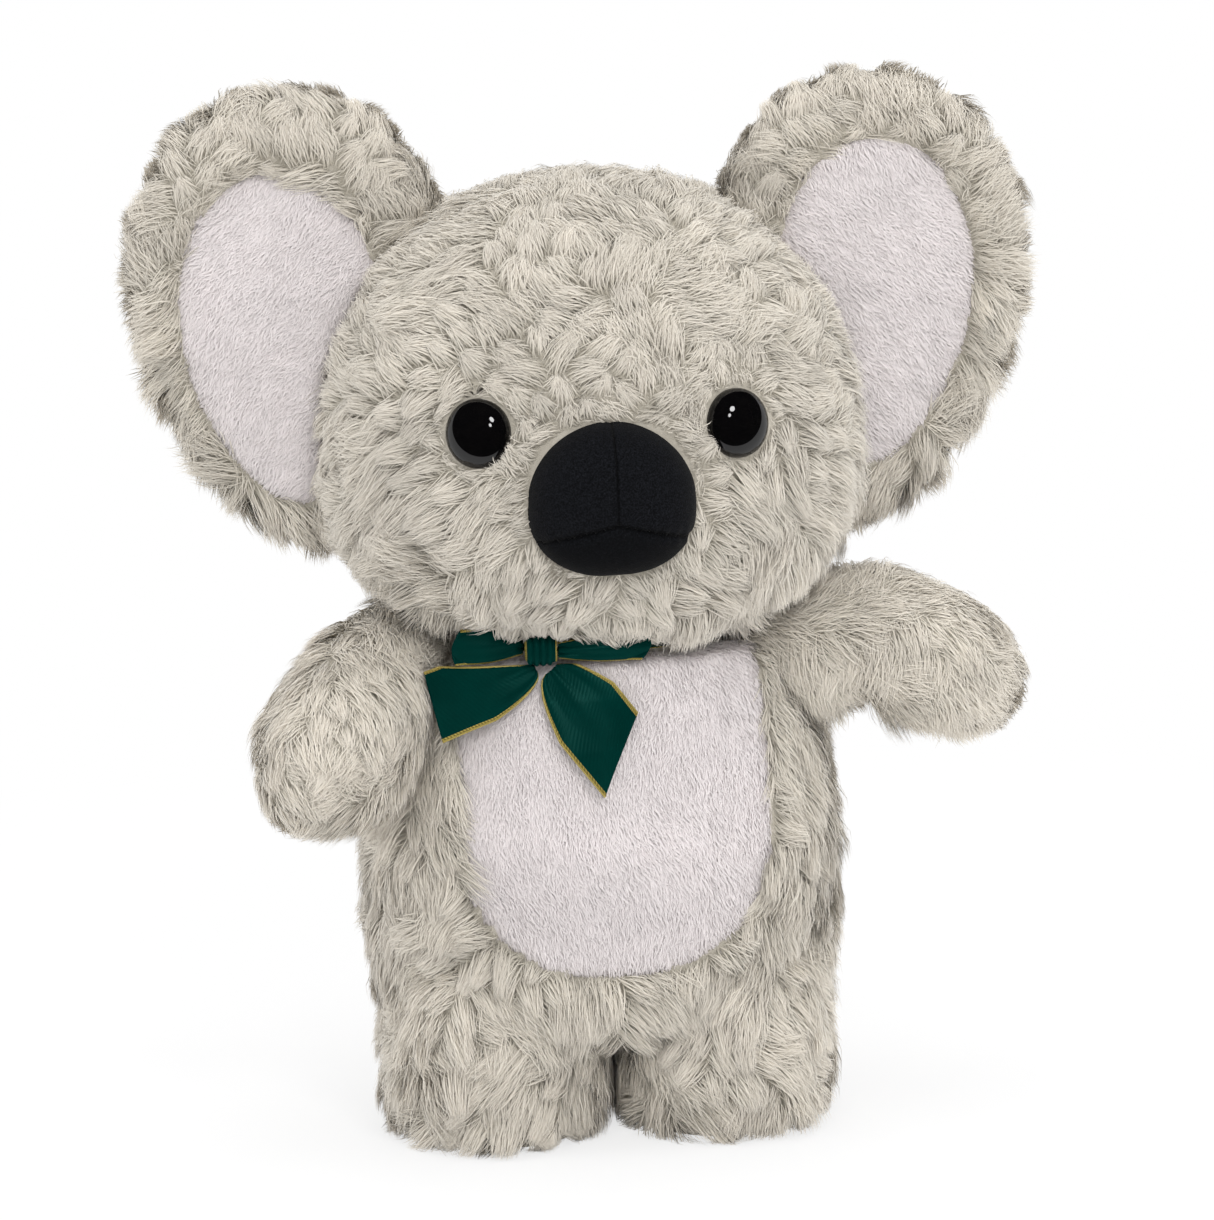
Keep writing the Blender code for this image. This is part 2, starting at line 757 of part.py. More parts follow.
def make_torso():
    hollow = torso_core(COVER_THICKNESS, NECK_Z + OVERRUN)
    belly_hole = front_half_prism(belly_outline(PANEL_GAP))
    cover = combine(torso_form(), [hollow, belly_hole, *arm_sockets()])
    finished(cover, "torso_cover", LONG_PILE)
    filling = combine(torso_core(COVER_THICKNESS + SEAM_GAP), arm_sockets())
    finished(filling, "torso_filling", FIBRE)
    panel = torso_form(SHORT_PILE_STEP)
    combine(panel, [torso_core(COVER_THICKNESS, NECK_Z + OVERRUN), *arm_sockets()])
    combine(panel, [front_half_prism(belly_outline(0))], "INTERSECT")
    finished(panel, "belly_panel", SHORT_PILE)


# Arms

def arm_direction(share):
    """Local direction along the arm at a share of its length, hanging, with +X outward."""
    lean = math.radians(ARM_BEND_DEG) * (1 / 2 - share)
    forward = math.radians(ARM_FORWARD_DEG)
    return Vector((
        math.sin(lean) * math.cos(forward),
        -math.sin(forward),
        -math.cos(lean) * math.cos(forward),
    ))


def swing_matrix(degrees):
    """Swing of the left arm outward and up from hanging, about the shoulder's fore-aft axis."""
    return Matrix.Rotation(math.radians(-degrees), 4, Vector((0, 1, 0)))


def raise_matrix(side):
    """Turn that brings the right arm's tip forward before it swings."""
    degrees = 0.0 if side > 0 else ARM_RIGHT_RAISE_DEG
    return Matrix.Rotation(math.radians(-degrees), 4, Vector((1, 0, 0)))


def arm_placements(side):
    """Places of a side's arm over its whole swing, with the right one mirrored to the left."""
    low = ARM_LEFT_LOW_SWING_DEG if side > 0 else ARM_RIGHT_SWING_DEG
    placements = []
    for k in range(SWING_STEPS):
        swing = low + (ARM_TOP_SWING_DEG - low) * k / (SWING_STEPS - 1)
        hung = Matrix.Translation(shoulder_place(1)) @ swing_matrix(swing)
        placements.append(hung @ raise_matrix(side))
    return placements


def pressed_share(middle, reach, placements):
    """Share of a reach of the arm's skin that keeps clear of the torso at every swing."""
    share = 1.0
    while share > PRESS_STEP_SHARE:
        point = middle + reach * share
        in_socket = point.length <= ARM_ROOT_RADIUS
        if in_socket or not any(in_torso(place @ point, PRESS_GAP) for place in placements):
            break
        share -= PRESS_STEP_SHARE
    return share


def arm_stations():
    """Distance along the arm from the shoulder, and radius, from the root's back to the tip."""
    stations = []
    for k in range(1, ARM_LEVELS // 2):
        turn = math.pi / 2 * k / (ARM_LEVELS // 2)
        stations.append((-ARM_ROOT_RADIUS * math.cos(turn), ARM_ROOT_RADIUS * math.sin(turn)))
    stations.append((0.0, ARM_ROOT_RADIUS))
    for k in range(1, ARM_LEVELS):
        share = math.sin(math.pi / 2 * k / ARM_LEVELS)
        swell = 1 + ARM_SWELL_SHARE * math.sin(math.pi * share)
        radius = ARM_ROOT_RADIUS * swell * (1 - share**ARM_TIP_POWER) ** (1 / 2)
        stations.append((share * ARM_LENGTH, radius))
    return stations


def arm_middle(distance):
    """Point of the arm's curved centre line."""
    if distance <= 0:
        return arm_direction(0) * distance
    place = Vector((0, 0, 0))
    for k in range(ARM_LEVELS):
        share = (k + 1 / 2) / ARM_LEVELS * distance / ARM_LENGTH
        place += arm_direction(share) * distance / ARM_LEVELS
    return place


def arm_skin(side):
    """Rings of (distance, reaches) that every layer of the arm follows."""
    placements = arm_placements(side)
    skin = []
    for distance, radius in arm_stations():
        middle = arm_middle(distance)
        along = arm_direction(max(distance, 0.0) / ARM_LENGTH)
        across = Vector((0, 1, 0)).cross(along).normalized()
        beside = along.cross(across)
        outline = superellipse(ARM_AROUND, radius, radius, 2)
        reaches = [across * a + beside * b for a, b in outline]
        shares = [pressed_share(middle, reach, placements) for reach in reaches]
        for k in range(ARM_AROUND):
            next_to = min(shares[k - 1], shares[(k + 1) % ARM_AROUND])
            reaches[k] *= min(shares[k], next_to + PRESS_SPREAD_SHARE)
        skin.append((distance, reaches))
    return skin


def arm_form(skin, inset):
    """Arm that hangs from the origin, with a ball about the origin as its root."""
    thinner = (ARM_ROOT_RADIUS - inset) / ARM_ROOT_RADIUS
    rings = []
    for distance, reaches in skin:
        if distance < 0:
            middle = arm_middle(distance * thinner)
        else:
            drawn_in = inset * (distance / ARM_LENGTH) ** ARM_TIP_INSET_POWER
            middle = arm_middle(distance - drawn_in)
        rings.append([middle + reach * thinner for reach in reaches])
    back = arm_middle(-ARM_ROOT_RADIUS * thinner)
    return stacked("arm", rings, back, arm_middle(ARM_LENGTH - inset))


def root_hole():
    """Cutter for the hole in the back of the arm's root, where the arm is filled and sewn."""
    along = arm_direction(0)
    across = Vector((0, 1, 0)).cross(along).normalized()
    beside = along.cross(across)
    rings = []
    for distance in (-ARM_ROOT_RADIUS * 2, -ARM_ROOT_RADIUS / 2):
        outline = superellipse(ARM_AROUND, ARM_ROOT_HOLE_RADIUS, ARM_ROOT_HOLE_RADIUS, 2)
        rings.append([along * distance + across * a + beside * b for a, b in outline])
    return stacked("root_hole", rings)


def make_arms(bodies):
    for side, swing in ((1, ARM_LEFT_SWING_DEG), (-1, ARM_RIGHT_SWING_DEG)):
        skin = arm_skin(side)
        cover = combine(arm_form(skin, 0), [arm_form(skin, COVER_THICKNESS), root_hole()])
        filling = arm_form(skin, COVER_THICKNESS + SEAM_GAP)
        place = Matrix.Translation(shoulder_place(side)) @ swing_matrix(side * swing)
        for piece, kind, finish in ((cover, "cover", LONG_PILE), (filling, "filling", FIBRE)):
            moved(mirrored_side(piece, side), place @ raise_matrix(side))
            finished(piece, f"arm_{kind}_{side_name(side)}", finish, bodies[side])


# Legs

def leg_form(side, inset, low_z, high_z):
    profile = []
    for share, width in LEG_LEVEL_SHARES:
        profile.append((
            low_z + share * (high_z - low_z),
            width * LEG_HALF_WIDTH - inset,
            width * LEG_HALF_DEPTH - inset,
            LEG_PLAN_POWER,
        ))
    centre = (side * LEG_SPACING / 2, BODY_Y - LEG_FORWARD)
    return upright("leg", profile, LEG_AROUND, centre)


def make_leg(side):
    low_z = SOLE_THICKNESS + PANEL_GAP
    hollow = leg_form(side, COVER_THICKNESS, low_z - OVERRUN, LEG_TOP_Z + OVERRUN)
    cover = combine(leg_form(side, 0, low_z, LEG_TOP_Z), [hollow, torso_form(-SEAM_GAP)])
    finished(cover, f"leg_cover_{side_name(side)}", LONG_PILE)
    inner = leg_form(side, COVER_THICKNESS + SEAM_GAP * 2, low_z, LEG_TOP_Z)
    filling = combine(inner, [torso_form(-SEAM_GAP)])
    finished(filling, f"leg_filling_{side_name(side)}", FIBRE)
    centre = (side * LEG_SPACING / 2, BODY_Y - LEG_FORWARD)
    half_width, half_depth = LEG_HALF_WIDTH * SOLE_SHARE, LEG_HALF_DEPTH * SOLE_SHARE
    edge = SOLE_THICKNESS / 2
    profile = [
        (0, half_width - edge, half_depth - edge, LEG_PLAN_POWER),
        (edge, half_width, half_depth, LEG_PLAN_POWER),
        (SOLE_THICKNESS, half_width, half_depth, LEG_PLAN_POWER),
    ]
    finished(upright("sole", profile, LEG_AROUND, centre), f"sole_{side_name(side)}", SOLE_CLOTH)


# Ears

def ear_outline(inset, count=EAR_AROUND):
    """Egg outline of the left ear in (x, z), drawn in by an inset and narrower at its low outer side."""
    lean = math.radians(EAR_LEAN_DEG)
    points = []
    for a, b in superellipse(count, EAR_HALF_WIDTH - inset, EAR_HALF_HEIGHT - inset, EAR_POWER):
        if a > 0:
            drop = max(0, EAR_TAPER_START - b) / (EAR_TAPER_START + EAR_HALF_HEIGHT)
            a *= 1 - EAR_TAPER_SHARE * drop**EAR_TAPER_POWER
        x = EAR_OUT + a * math.cos(lean) + b * math.sin(lean)
        z = EAR_CENTRE_Z - a * math.sin(lean) + b * math.cos(lean)
        points.append((x, z))
    return points


def ear_form(inset):
    """Pillow of the left ear, with a round edge and slightly domed faces."""
    centre_y = BODY_Y + EAR_BACK
    half = EAR_THICKNESS / 2 - inset
    rings = []
    for k in range(EAR_LEVELS + 1):
        turn = math.pi * (k / EAR_LEVELS - 1 / 2)
        drawn_in = inset + EAR_EDGE_RADIUS * (1 - math.cos(turn))
        y = centre_y + half * math.sin(turn)
        rings.append([Vector((x, y, z)) for x, z in ear_outline(drawn_in)])
    tips = []
    for sign in (-1, 1):
        tips.append(Vector((EAR_OUT, centre_y + sign * (half + EAR_DOME), EAR_CENTRE_Z)))
    return stacked("ear", rings, *tips)


def ear_axis():
    """Point and direction of the left ear's fold line, which follows its root on the head."""
    high = Vector((head_half_width(EAR_ROOT_TOP_Z), BODY_Y + EAR_BACK, EAR_ROOT_TOP_Z))
    low = Vector((head_half_width(EAR_ROOT_BOTTOM_Z), BODY_Y + EAR_BACK, EAR_ROOT_BOTTOM_Z))
    along = (low - high).normalized()
    out = along.cross(Vector((0, 1, 0))).normalized()
    out = out if out.x > 0 else -out
    return (high + low) / 2 + out * EAR_AXIS_OUT, along


def swept_heads(clearance):
    point, along = ear_axis()
    steps = []
    for share in FOLD_SHARES:
        fold = about(point, along, EAR_FOLD_DEG * share)
        steps.append(moved(head_form(-clearance), fold))
    return steps


def ear_front_prism(inset):
    """Prism from the ear's middle forward, inside the rim."""
    rings = []
    for y in (BODY_Y + EAR_BACK - EAR_THICKNESS, BODY_Y + EAR_BACK):
        rings.append([Vector((x, y, z)) for x, z in ear_outline(inset)])
    return stacked("ear_prism", rings)


def make_ears(bodies):
    thickness = EAR_COVER_THICKNESS
    hollow = combine(ear_form(thickness), swept_heads(SWING_GAP + thickness))
    cover = combine(ear_form(0), swept_heads(SWING_GAP))
    panel = combine(ear_form(SHORT_PILE_STEP), swept_heads(SWING_GAP))
    combine(cover, [copy_of(hollow), ear_front_prism(EAR_RIM_WIDTH)])
    combine(panel, [hollow])
    combine(panel, [ear_front_prism(EAR_RIM_WIDTH + PANEL_GAP)], "INTERSECT")
    inner = thickness + SEAM_GAP
    wadding = combine(ear_form(inner), swept_heads(SWING_GAP + inner))
    kinds = (("cover", cover, LONG_PILE), ("panel", panel, SHORT_PILE), ("wadding", wadding, FIBRE))
    for side in (1, -1):
        for kind, source, finish in kinds:
            piece = mirrored_side(copy_of(source), side)
            finished(piece, f"ear_{kind}_{side_name(side)}", finish, bodies[side])
    for _kind, source, _finish in kinds:
        bpy.data.objects.remove(source)


# Ribbon

def make_band():
    low, high = BAND_BOTTOM_Z, BAND_BOTTOM_Z + BAND_HEIGHT
    inner = NECK_RADIUS + SEAM_GAP * 2
    outer = inner + BAND_THICKNESS
    edge = BAND_THICKNESS / 3
    section = [
        (inner, low), (outer - edge, low), (outer, low + edge),
        (outer, high - edge), (outer - edge, high), (inner, high),
    ]
    band = turned_ring("band", section, RING_AROUND, BODY_Y)
    finished(band, "ribbon_neck_band", SATIN)


def bow_front(x):
    """Y of the back of the bow, which lies before the chest and the neck band."""
    band_front = BODY_Y - (NECK_RADIUS + SEAM_GAP * 2 + BAND_THICKNESS)
    chest = torso_front(x, KNOT_Z - LOOP_HEIGHT / 2)
    return min(chest, band_front * fall(x / HEAD_HALF_WIDTH, 2)) - RIBBON_LIFT


def make_knot():
    rings = []
    back = bow_front(KNOT_X)
    for k in range(1, KNOT_LEVELS):
        turn = math.pi * k / KNOT_LEVELS
        x = KNOT_X - math.cos(turn) * KNOT_LENGTH / 2
        scale = math.sin(turn) ** (1 / 2)
        half_depth, half_height = scale * KNOT_DEPTH / 2, scale * KNOT_HEIGHT / 2
        outline = superellipse(KNOT_AROUND, half_depth, half_height, KNOT_POWER)
        rings.append([Vector((x, back - KNOT_DEPTH / 2 + a, KNOT_Z + b)) for a, b in outline])
    centre = Vector((0, back - KNOT_DEPTH / 2, KNOT_Z))
    tips = [centre + Vector((KNOT_X + sign * KNOT_LENGTH / 2, 0, 0)) for sign in (-1, 1)]
    finished(stacked("knot", rings, *tips), "bow_knot", SATIN)


def make_loop(name, end_x):
    """Flat loop of ribbon from the knot to end_x, open at its top and bottom."""
    sign = math.copysign(1, end_x - KNOT_X)
    start_x = KNOT_X + sign * (KNOT_LENGTH / 2 + SEAM_GAP)
    front, back = [], []
    for k in range(LOOP_STEPS + 1):
        share = k / LOOP_STEPS
        x = start_x + (end_x - start_x) * math.sin(math.pi / 2 * share)
        swell = LOOP_DEPTH * (1 / 2 + math.sin(math.pi * share) / 2)
        swell = swell if k < LOOP_STEPS else RIBBON_THICKNESS
        y = bow_front(x) - LOOP_DEPTH / 2
        front.append(Vector((x, y - swell / 2, 0)))
        back.append(Vector((x, y + swell / 2, 0)))
    path = front + back[::-1]
    middle = sum(path, Vector()) / len(path)
    low_z, high_z = KNOT_Z - LOOP_HEIGHT / 2, KNOT_Z + LOOP_HEIGHT / 2
    count = len(path)
    vertices, faces = [], []
    for k, point in enumerate(path):
        along = (path[(k + 1) % count] - path[k - 1]).normalized()
        inward = along.cross(Vector((0, 0, 1)))
        inward = inward if inward.dot(middle - point) > 0 else -inward
        for place in (point, point + inward * RIBBON_THICKNESS):
            vertices += [place + Vector((0, 0, low_z)), place + Vector((0, 0, high_z))]
    for k in range(count):
        a, b = 4 * k, 4 * ((k + 1) % count)
        faces.append((a, a + 1, b + 1, b))
        faces.append((a + 2, b + 2, b + 3, a + 3))
        faces.append((a, b, b + 2, a + 2))
        faces.append((a + 1, a + 3, b + 3, b + 1))
    finished(new_object("loop", vertices, faces), name, SATIN)


def make_tail(name, root_x, width, length, angle_deg, cut):
    """Ribbon end that runs down over the chest, with a slanting cut."""
    angle = math.radians(angle_deg)
    along = Vector((math.sin(angle), 0, -math.cos(angle)))
    across = Vector((math.cos(angle), 0, math.sin(angle)))
    half_root = TAIL_ROOT_WIDTH / 2 * abs(math.sin(angle))
    start = Vector((root_x, 0, KNOT_Z - KNOT_HEIGHT / 2 - SEAM_GAP - half_root))
    top = KNOT_Z - KNOT_HEIGHT / 2 - SEAM_GAP
    rows, columns = TAIL_ROWS, TAIL_COLUMNS
    layers = []
    for k in range(rows):
        share = k / (rows - 1)
        full = TAIL_ROOT_WIDTH + (width - TAIL_ROOT_WIDTH) * min(1, share * 2) ** (1 / 2)
        for j in range(columns):
            side = j / (columns - 1) - 1 / 2
            reach = share * (length + cut * side * 2 * share)
            place = start + along * reach + across * side * full
            place.z = min(place.z, top)
            place.y = torso_front(place.x * TAIL_FLATNESS_SHARE, place.z) - RIBBON_LIFT
            layers.append(place)
    vertices = layers + [place - Vector((0, RIBBON_THICKNESS, 0)) for place in layers]
    count = rows * columns
    faces = []
    for k in range(rows - 1):
        for j in range(columns - 1):
            a = k * columns + j
            quad = (a, a + 1, a + columns + 1, a + columns)
            faces.append(quad)
            faces.append(tuple(count + corner for corner in reversed(quad)))
    border = list(range(columns))
    border += [k * columns + columns - 1 for k in range(1, rows)]
    border += [(rows - 1) * columns + j for j in range(columns - 2, -1, -1)]
    border += [k * columns for k in range(rows - 2, 0, -1)]
    for a, b in zip(border, border[1:] + border[:1]):
        faces.append((a, b, b + count, a + count))
    finished(new_object("tail", vertices, faces), name, SATIN)


def make_ribbon():
    make_band()
    make_knot()
    make_loop("bow_loop_left", LOOP_LEFT_END_X)
    make_loop("bow_loop_right", LOOP_RIGHT_END_X)
    make_tail(
        "bow_tail_left",
        TAIL_LEFT_ROOT_X,
        TAIL_LEFT_WIDTH,
        TAIL_LEFT_LENGTH,
        TAIL_LEFT_ANGLE_DEG,
        TAIL_LEFT_CUT,
    )
    make_tail(
        "bow_tail_right",
        TAIL_RIGHT_ROOT_X,
        TAIL_RIGHT_WIDTH,
        TAIL_RIGHT_LENGTH,
        TAIL_RIGHT_ANGLE_DEG,
        TAIL_RIGHT_CUT,
    )


def main():
    clear_scene()
    neck = pivot("neck_turn_axis", (0, BODY_Y, NECK_Z))
    shoulders = {}
    ears = {}
    for side in (1, -1):
        shoulders[side] = pivot(f"shoulder_{side_name(side)}_axis", shoulder_place(side))
        point, along = ear_axis()
        place = (side * point.x, point.y, point.z)
        ears[side] = pivot(f"ear_{side_name(side)}_axis", place, neck)
    make_torso()
    make_head(neck)
    make_nose(neck)
    for side in (1, -1):
        make_eye(side, neck)
        make_leg(side)
    make_ears(ears)
    make_arms(shoulders)
    make_ribbon()


main()
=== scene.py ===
"""A plush koala with long curly pile, white short-pile panels, a black cloth nose and a satin bow.

Lengths are in metres. The koala faces -Y, so its left side is at +X, and it stands on z = 0.
"""

import json
import math

import bmesh
import bpy
import numpy as np
from bpy.props import FloatProperty, FloatVectorProperty, PointerProperty
from mathutils import Matrix, Quaternion, Vector, kdtree, noise
from mathutils.bvhtree import BVHTree


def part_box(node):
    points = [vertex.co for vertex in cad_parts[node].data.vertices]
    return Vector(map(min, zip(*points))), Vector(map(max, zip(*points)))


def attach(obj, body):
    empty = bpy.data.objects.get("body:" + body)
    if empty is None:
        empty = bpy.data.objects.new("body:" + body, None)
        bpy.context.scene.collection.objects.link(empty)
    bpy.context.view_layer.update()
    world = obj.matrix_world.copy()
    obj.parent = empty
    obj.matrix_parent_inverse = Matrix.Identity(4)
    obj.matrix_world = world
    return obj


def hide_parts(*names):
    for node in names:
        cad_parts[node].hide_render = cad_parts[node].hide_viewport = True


bl_info = {
    "name": "Plush koala",
    "version": (1, 0, 0),
    "blender": (4, 5, 0),
    "location": "View3D > Sidebar > Koala",
    "description": "Makes a plush koala's pile, panels, nose, eyes and bow round its sewn body",
    "category": "Object",
}

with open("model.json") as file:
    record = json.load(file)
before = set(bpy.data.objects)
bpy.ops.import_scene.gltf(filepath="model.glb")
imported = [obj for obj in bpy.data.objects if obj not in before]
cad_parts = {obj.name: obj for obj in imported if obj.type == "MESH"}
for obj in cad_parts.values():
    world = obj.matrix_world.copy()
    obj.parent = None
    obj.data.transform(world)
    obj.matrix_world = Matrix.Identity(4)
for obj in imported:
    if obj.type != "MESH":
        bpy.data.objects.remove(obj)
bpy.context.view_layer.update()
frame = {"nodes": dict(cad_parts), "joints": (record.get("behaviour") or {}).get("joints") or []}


# Sizes, worked out from the frame

def corners(node):
    low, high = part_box(node)
    return np.array(low), np.array(high)


HEAD_LOW, HEAD_HIGH = corners("head_cover")
BODY_Y = (HEAD_LOW[1] + HEAD_HIGH[1]) / 2
HEAD_HALF_WIDTH = (HEAD_HIGH[0] - HEAD_LOW[0]) / 2
HEAD_HALF_DEPTH = (HEAD_HIGH[1] - HEAD_LOW[1]) / 2
HEAD_WIDEST_SHARE = 0.3755
HEAD_WIDEST_Z = HEAD_LOW[2] + HEAD_WIDEST_SHARE * (HEAD_HIGH[2] - HEAD_LOW[2])
HEAD_RISE = HEAD_HIGH[2] - HEAD_WIDEST_Z
# The chin's curve would end this much lower if the neck didn't cut it off
HEAD_DROP_STRETCH = 1.061
HEAD_DROP = HEAD_DROP_STRETCH * (HEAD_WIDEST_Z - HEAD_LOW[2])
HEAD_PLAN_POWER, HEAD_RISE_POWER, HEAD_DROP_POWER, HEAD_CHIN_POWER = 2.3, 2.2, 2.25, 3.5

TORSO_LOW, TORSO_HIGH = corners("torso_cover")
BAND_LOW, BAND_HIGH = corners("ribbon_neck_band")
NECK_Z = TORSO_HIGH[2]
NECK_ROOT_Z = BAND_LOW[2] - 0.0004
NECK_RADIUS = 0.0360
TORSO_HALF_WIDTH = TORSO_HIGH[0]
TORSO_HALF_DEPTH = TORSO_HIGH[1] - BODY_Y
TORSO_PLAN_POWER = 2.3
# Shares of the height up to the neck's root, of the half width and of the half depth
TORSO_LEVELS = np.array((
    (0.00, 0.74, 0.72), (0.02, 0.86, 0.84), (0.08, 0.955, 0.95), (0.20, 0.995, 0.99),
    (0.41, 1.00, 1.00), (0.61, 0.985, 0.995), (0.765, 0.935, 0.965), (0.893, 0.865, 0.905),
    (0.981, 0.775, 0.833), (1.00, 0.558, 0.75), (1.083, 0.558, 0.75),
))

TAIL_LOW_Z = corners("bow_tail_right")[0][2]
BELLY_LOW, BELLY_HIGH = corners("belly_panel")
LEG_LOW, LEG_HIGH = corners("leg_cover_left")
LEG_CENTRE = (LEG_LOW + LEG_HIGH) / 2
LEG_HALF_WIDTH = (LEG_HIGH[0] - LEG_LOW[0]) / 2
LEG_HALF_DEPTH = (LEG_HIGH[1] - LEG_LOW[1]) / 2
LEG_PLAN_POWER = 2.3
# Shares of the leg's height, and of its half width and half depth
LEG_LEVELS = np.array((
    (0.00, 0.80), (0.05, 0.88), (0.14, 0.955), (0.32, 1.00), (0.60, 1.00), (0.85, 0.975),
    (1.00, 0.93),
))

EAR_LOW, EAR_HIGH = corners("ear_cover_left")
EAR_MIDDLE_SHARE = 0.475
EAR_CENTRE = np.array((
    EAR_LOW[0] + EAR_MIDDLE_SHARE * (EAR_HIGH[0] - EAR_LOW[0]), (EAR_LOW[2] + EAR_HIGH[2]) / 2))
EAR_Y = (EAR_LOW[1] + EAR_HIGH[1]) / 2
EAR_HALF_THICKNESS = (EAR_HIGH[1] - EAR_LOW[1]) / 2

NOSE_LOW = np.minimum(corners("nose_panel_lower")[0], corners("nose_panel_upper_right")[0])
NOSE_HIGH = np.maximum(corners("nose_panel_lower")[1], corners("nose_panel_upper_left")[1])
NOSE_HALF_WIDTH = NOSE_HIGH[0]
NOSE_HALF_HEIGHT = (NOSE_HIGH[2] - NOSE_LOW[2]) / 2
NOSE_Z = (NOSE_HIGH[2] + NOSE_LOW[2]) / 2
NOSE_TIP_Y = NOSE_LOW[1]
NOSE_REACH = 0.0210
NOSE_CENTRE_Y = NOSE_TIP_Y + NOSE_REACH
NOSE_POWER, NOSE_TOP_POWER, NOSE_DOME_POWER, NOSE_TAPER = 2.5, 2.15, 2.3, 0.10
NOSE_JOIN_Z = NOSE_Z - 0.0055
NOSE_SEAM_FALL = 0.0058

EYE_X, EYE_Z = 0.0345, HEAD_WIDEST_Z + 0.0130
EYE_RADIUS, EYE_HEIGHT = 0.0090, 0.0065
ARM_ROOT_RADIUS = 0.0185
# How high the stuffing lifts the skin of the torso, arms and legs between its hollows
SKIN_LUMP = 0.0014
# Height and spacing of the lumps of the head's skin
HEAD_LUMPS = ((0.0016, 0.013), (0.0012, 0.005))
# How deep the belly's panel lies in the torso's skin
BELLY_SEAT = 0.0034
# Thicknesses of the sewn cloth
NOSE_CLOTH, BELLY_CLOTH, EAR_CLOTH = 0.0009, 0.0014, 0.0012

SIDES = ((1, "left"), (-1, "right"))


# Colours are written as 0 to 255 and used as linear light

def paint(red, green, blue):
    shares = [c / 255 for c in (red, green, blue)]
    return tuple(c / 12.92 if c <= 0.04045 else ((c + 0.055) / 1.055) ** 2.4 for c in shares)


class KoalaPile(bpy.types.PropertyGroup):
    """Lengths of the pile on the koala's covers and panels."""

    length: FloatProperty(
        name="Long pile", description="Length of a hair of the long pile",
        default=0.0090, min=0.002, max=0.02, unit="LENGTH")
    tuft: FloatProperty(
        name="Tuft", description="Distance between the tufts that the long pile gathers in",
        default=0.0064, min=0.002, max=0.02, unit="LENGTH")
    gather: FloatProperty(
        name="Gather", description="How far the hairs of a tuft lean to its tip",
        default=0.42, min=0, max=1, subtype="FACTOR")
    short_length: FloatProperty(
        name="Short pile", description="Length of a hair of the white short pile",
        default=0.0034, min=0.001, max=0.01, unit="LENGTH")
    width: FloatProperty(
        name="Lock width", description="Width of one lock of hairs at its middle",
        default=0.00036, min=0.0002, max=0.002, unit="LENGTH")


class KoalaColours(bpy.types.PropertyGroup):
    """Colours of the koala's cloth, pile and ribbon."""

    fur_tip: FloatVectorProperty(
        name="Fur tips", description="Colour of the long pile at its tips",
        default=paint(226, 219, 207), min=0, max=1, subtype="COLOR")
    fur_middle: FloatVectorProperty(
        name="Fur", description="Colour of the long pile halfway up",
        default=paint(207, 200, 187), min=0, max=1, subtype="COLOR")
    # The roots' darker colour is painted shade, for the shade that falls between the locks
    fur_root_shade: FloatVectorProperty(
        name="Fur roots", description="Colour of the long pile at its roots",
        default=paint(172, 165, 150), min=0, max=1, subtype="COLOR")
    white: FloatVectorProperty(
        name="White pile", description="Colour of the short pile of the belly and the ears",
        default=paint(235, 228, 227), min=0, max=1, subtype="COLOR")
    nose: FloatVectorProperty(
        name="Nose cloth", description="Colour of the nose",
        default=paint(15, 16, 19), min=0, max=1, subtype="COLOR")
    satin: FloatVectorProperty(
        name="Satin", description="Colour of the ribbon",
        default=paint(0, 46, 41), min=0, max=1, subtype="COLOR")
    gold: FloatVectorProperty(
        name="Gold thread", description="Colour of the ribbon's woven edges",
        default=paint(196, 176, 96), min=0, max=1, subtype="COLOR")


# Materials

class Wire:
    """A node's output that can be used in arithmetic."""

    def __init__(self, tree, socket):
        self.tree, self.socket = tree, socket

    def maths(self, operation, first, second=0.0):
        node = self.tree.nodes.new("ShaderNodeMath")
        node.operation = operation
        for slot, value in zip(node.inputs, (first, second)):
            feed(self.tree, slot, value)
        return Wire(self.tree, node.outputs[0])

    def __add__(self, other):
        return self.maths("ADD", self, other)

    __radd__ = __add__

    def __sub__(self, other):
        return self.maths("SUBTRACT", self, other)

    def __rsub__(self, other):
        return self.maths("SUBTRACT", other, self)

    def __mul__(self, other):
        return self.maths("MULTIPLY", self, other)

    __rmul__ = __mul__

    def __gt__(self, other):
        return self.maths("GREATER_THAN", self, other)

    def size(self):
        return self.maths("ABSOLUTE", self)

    def wave(self):
        return self.maths("SINE", self)

    def beside(self, output):
        """Another output of the same node."""
        return Wire(self.tree, self.socket.node.outputs[output])


def feed(tree, slot, value):
    """Links a wire into a socket, or writes a number or colour on it."""
    if isinstance(value, Wire):
        tree.links.new(value.socket, slot)
    elif hasattr(value, "__len__") and len(value) == 3 and slot.type == "RGBA":
        slot.default_value = (*value, 1.0)
    else:
        slot.default_value = value


class Nodes:
    """The nodes of a material or of the world, which end in the output node named."""

    def __init__(self, tree, ending):
        self.tree, self.ending = tree, ending
        tree.nodes.clear()

    def node(self, kind, settings=None, sockets=None, output=0):
        made = self.tree.nodes.new(kind)
        for name, value in (settings or {}).items():
            setattr(made, name, value)
        for name, value in (sockets or {}).items():
            feed(self.tree, made.inputs[name], value)
        return Wire(self.tree, made.outputs[output])

    def end(self, surface):
        feed(self.tree, self.tree.nodes.new(self.ending).inputs[0], surface)

    def seen(self):
        """1 where the camera looks, directly or by way of metal or glass."""
        camera = self.node("ShaderNodeLightPath", output="Is Camera Ray")
        return camera + camera.beside("Is Glossy Ray") + camera.beside("Is Transmission Ray")


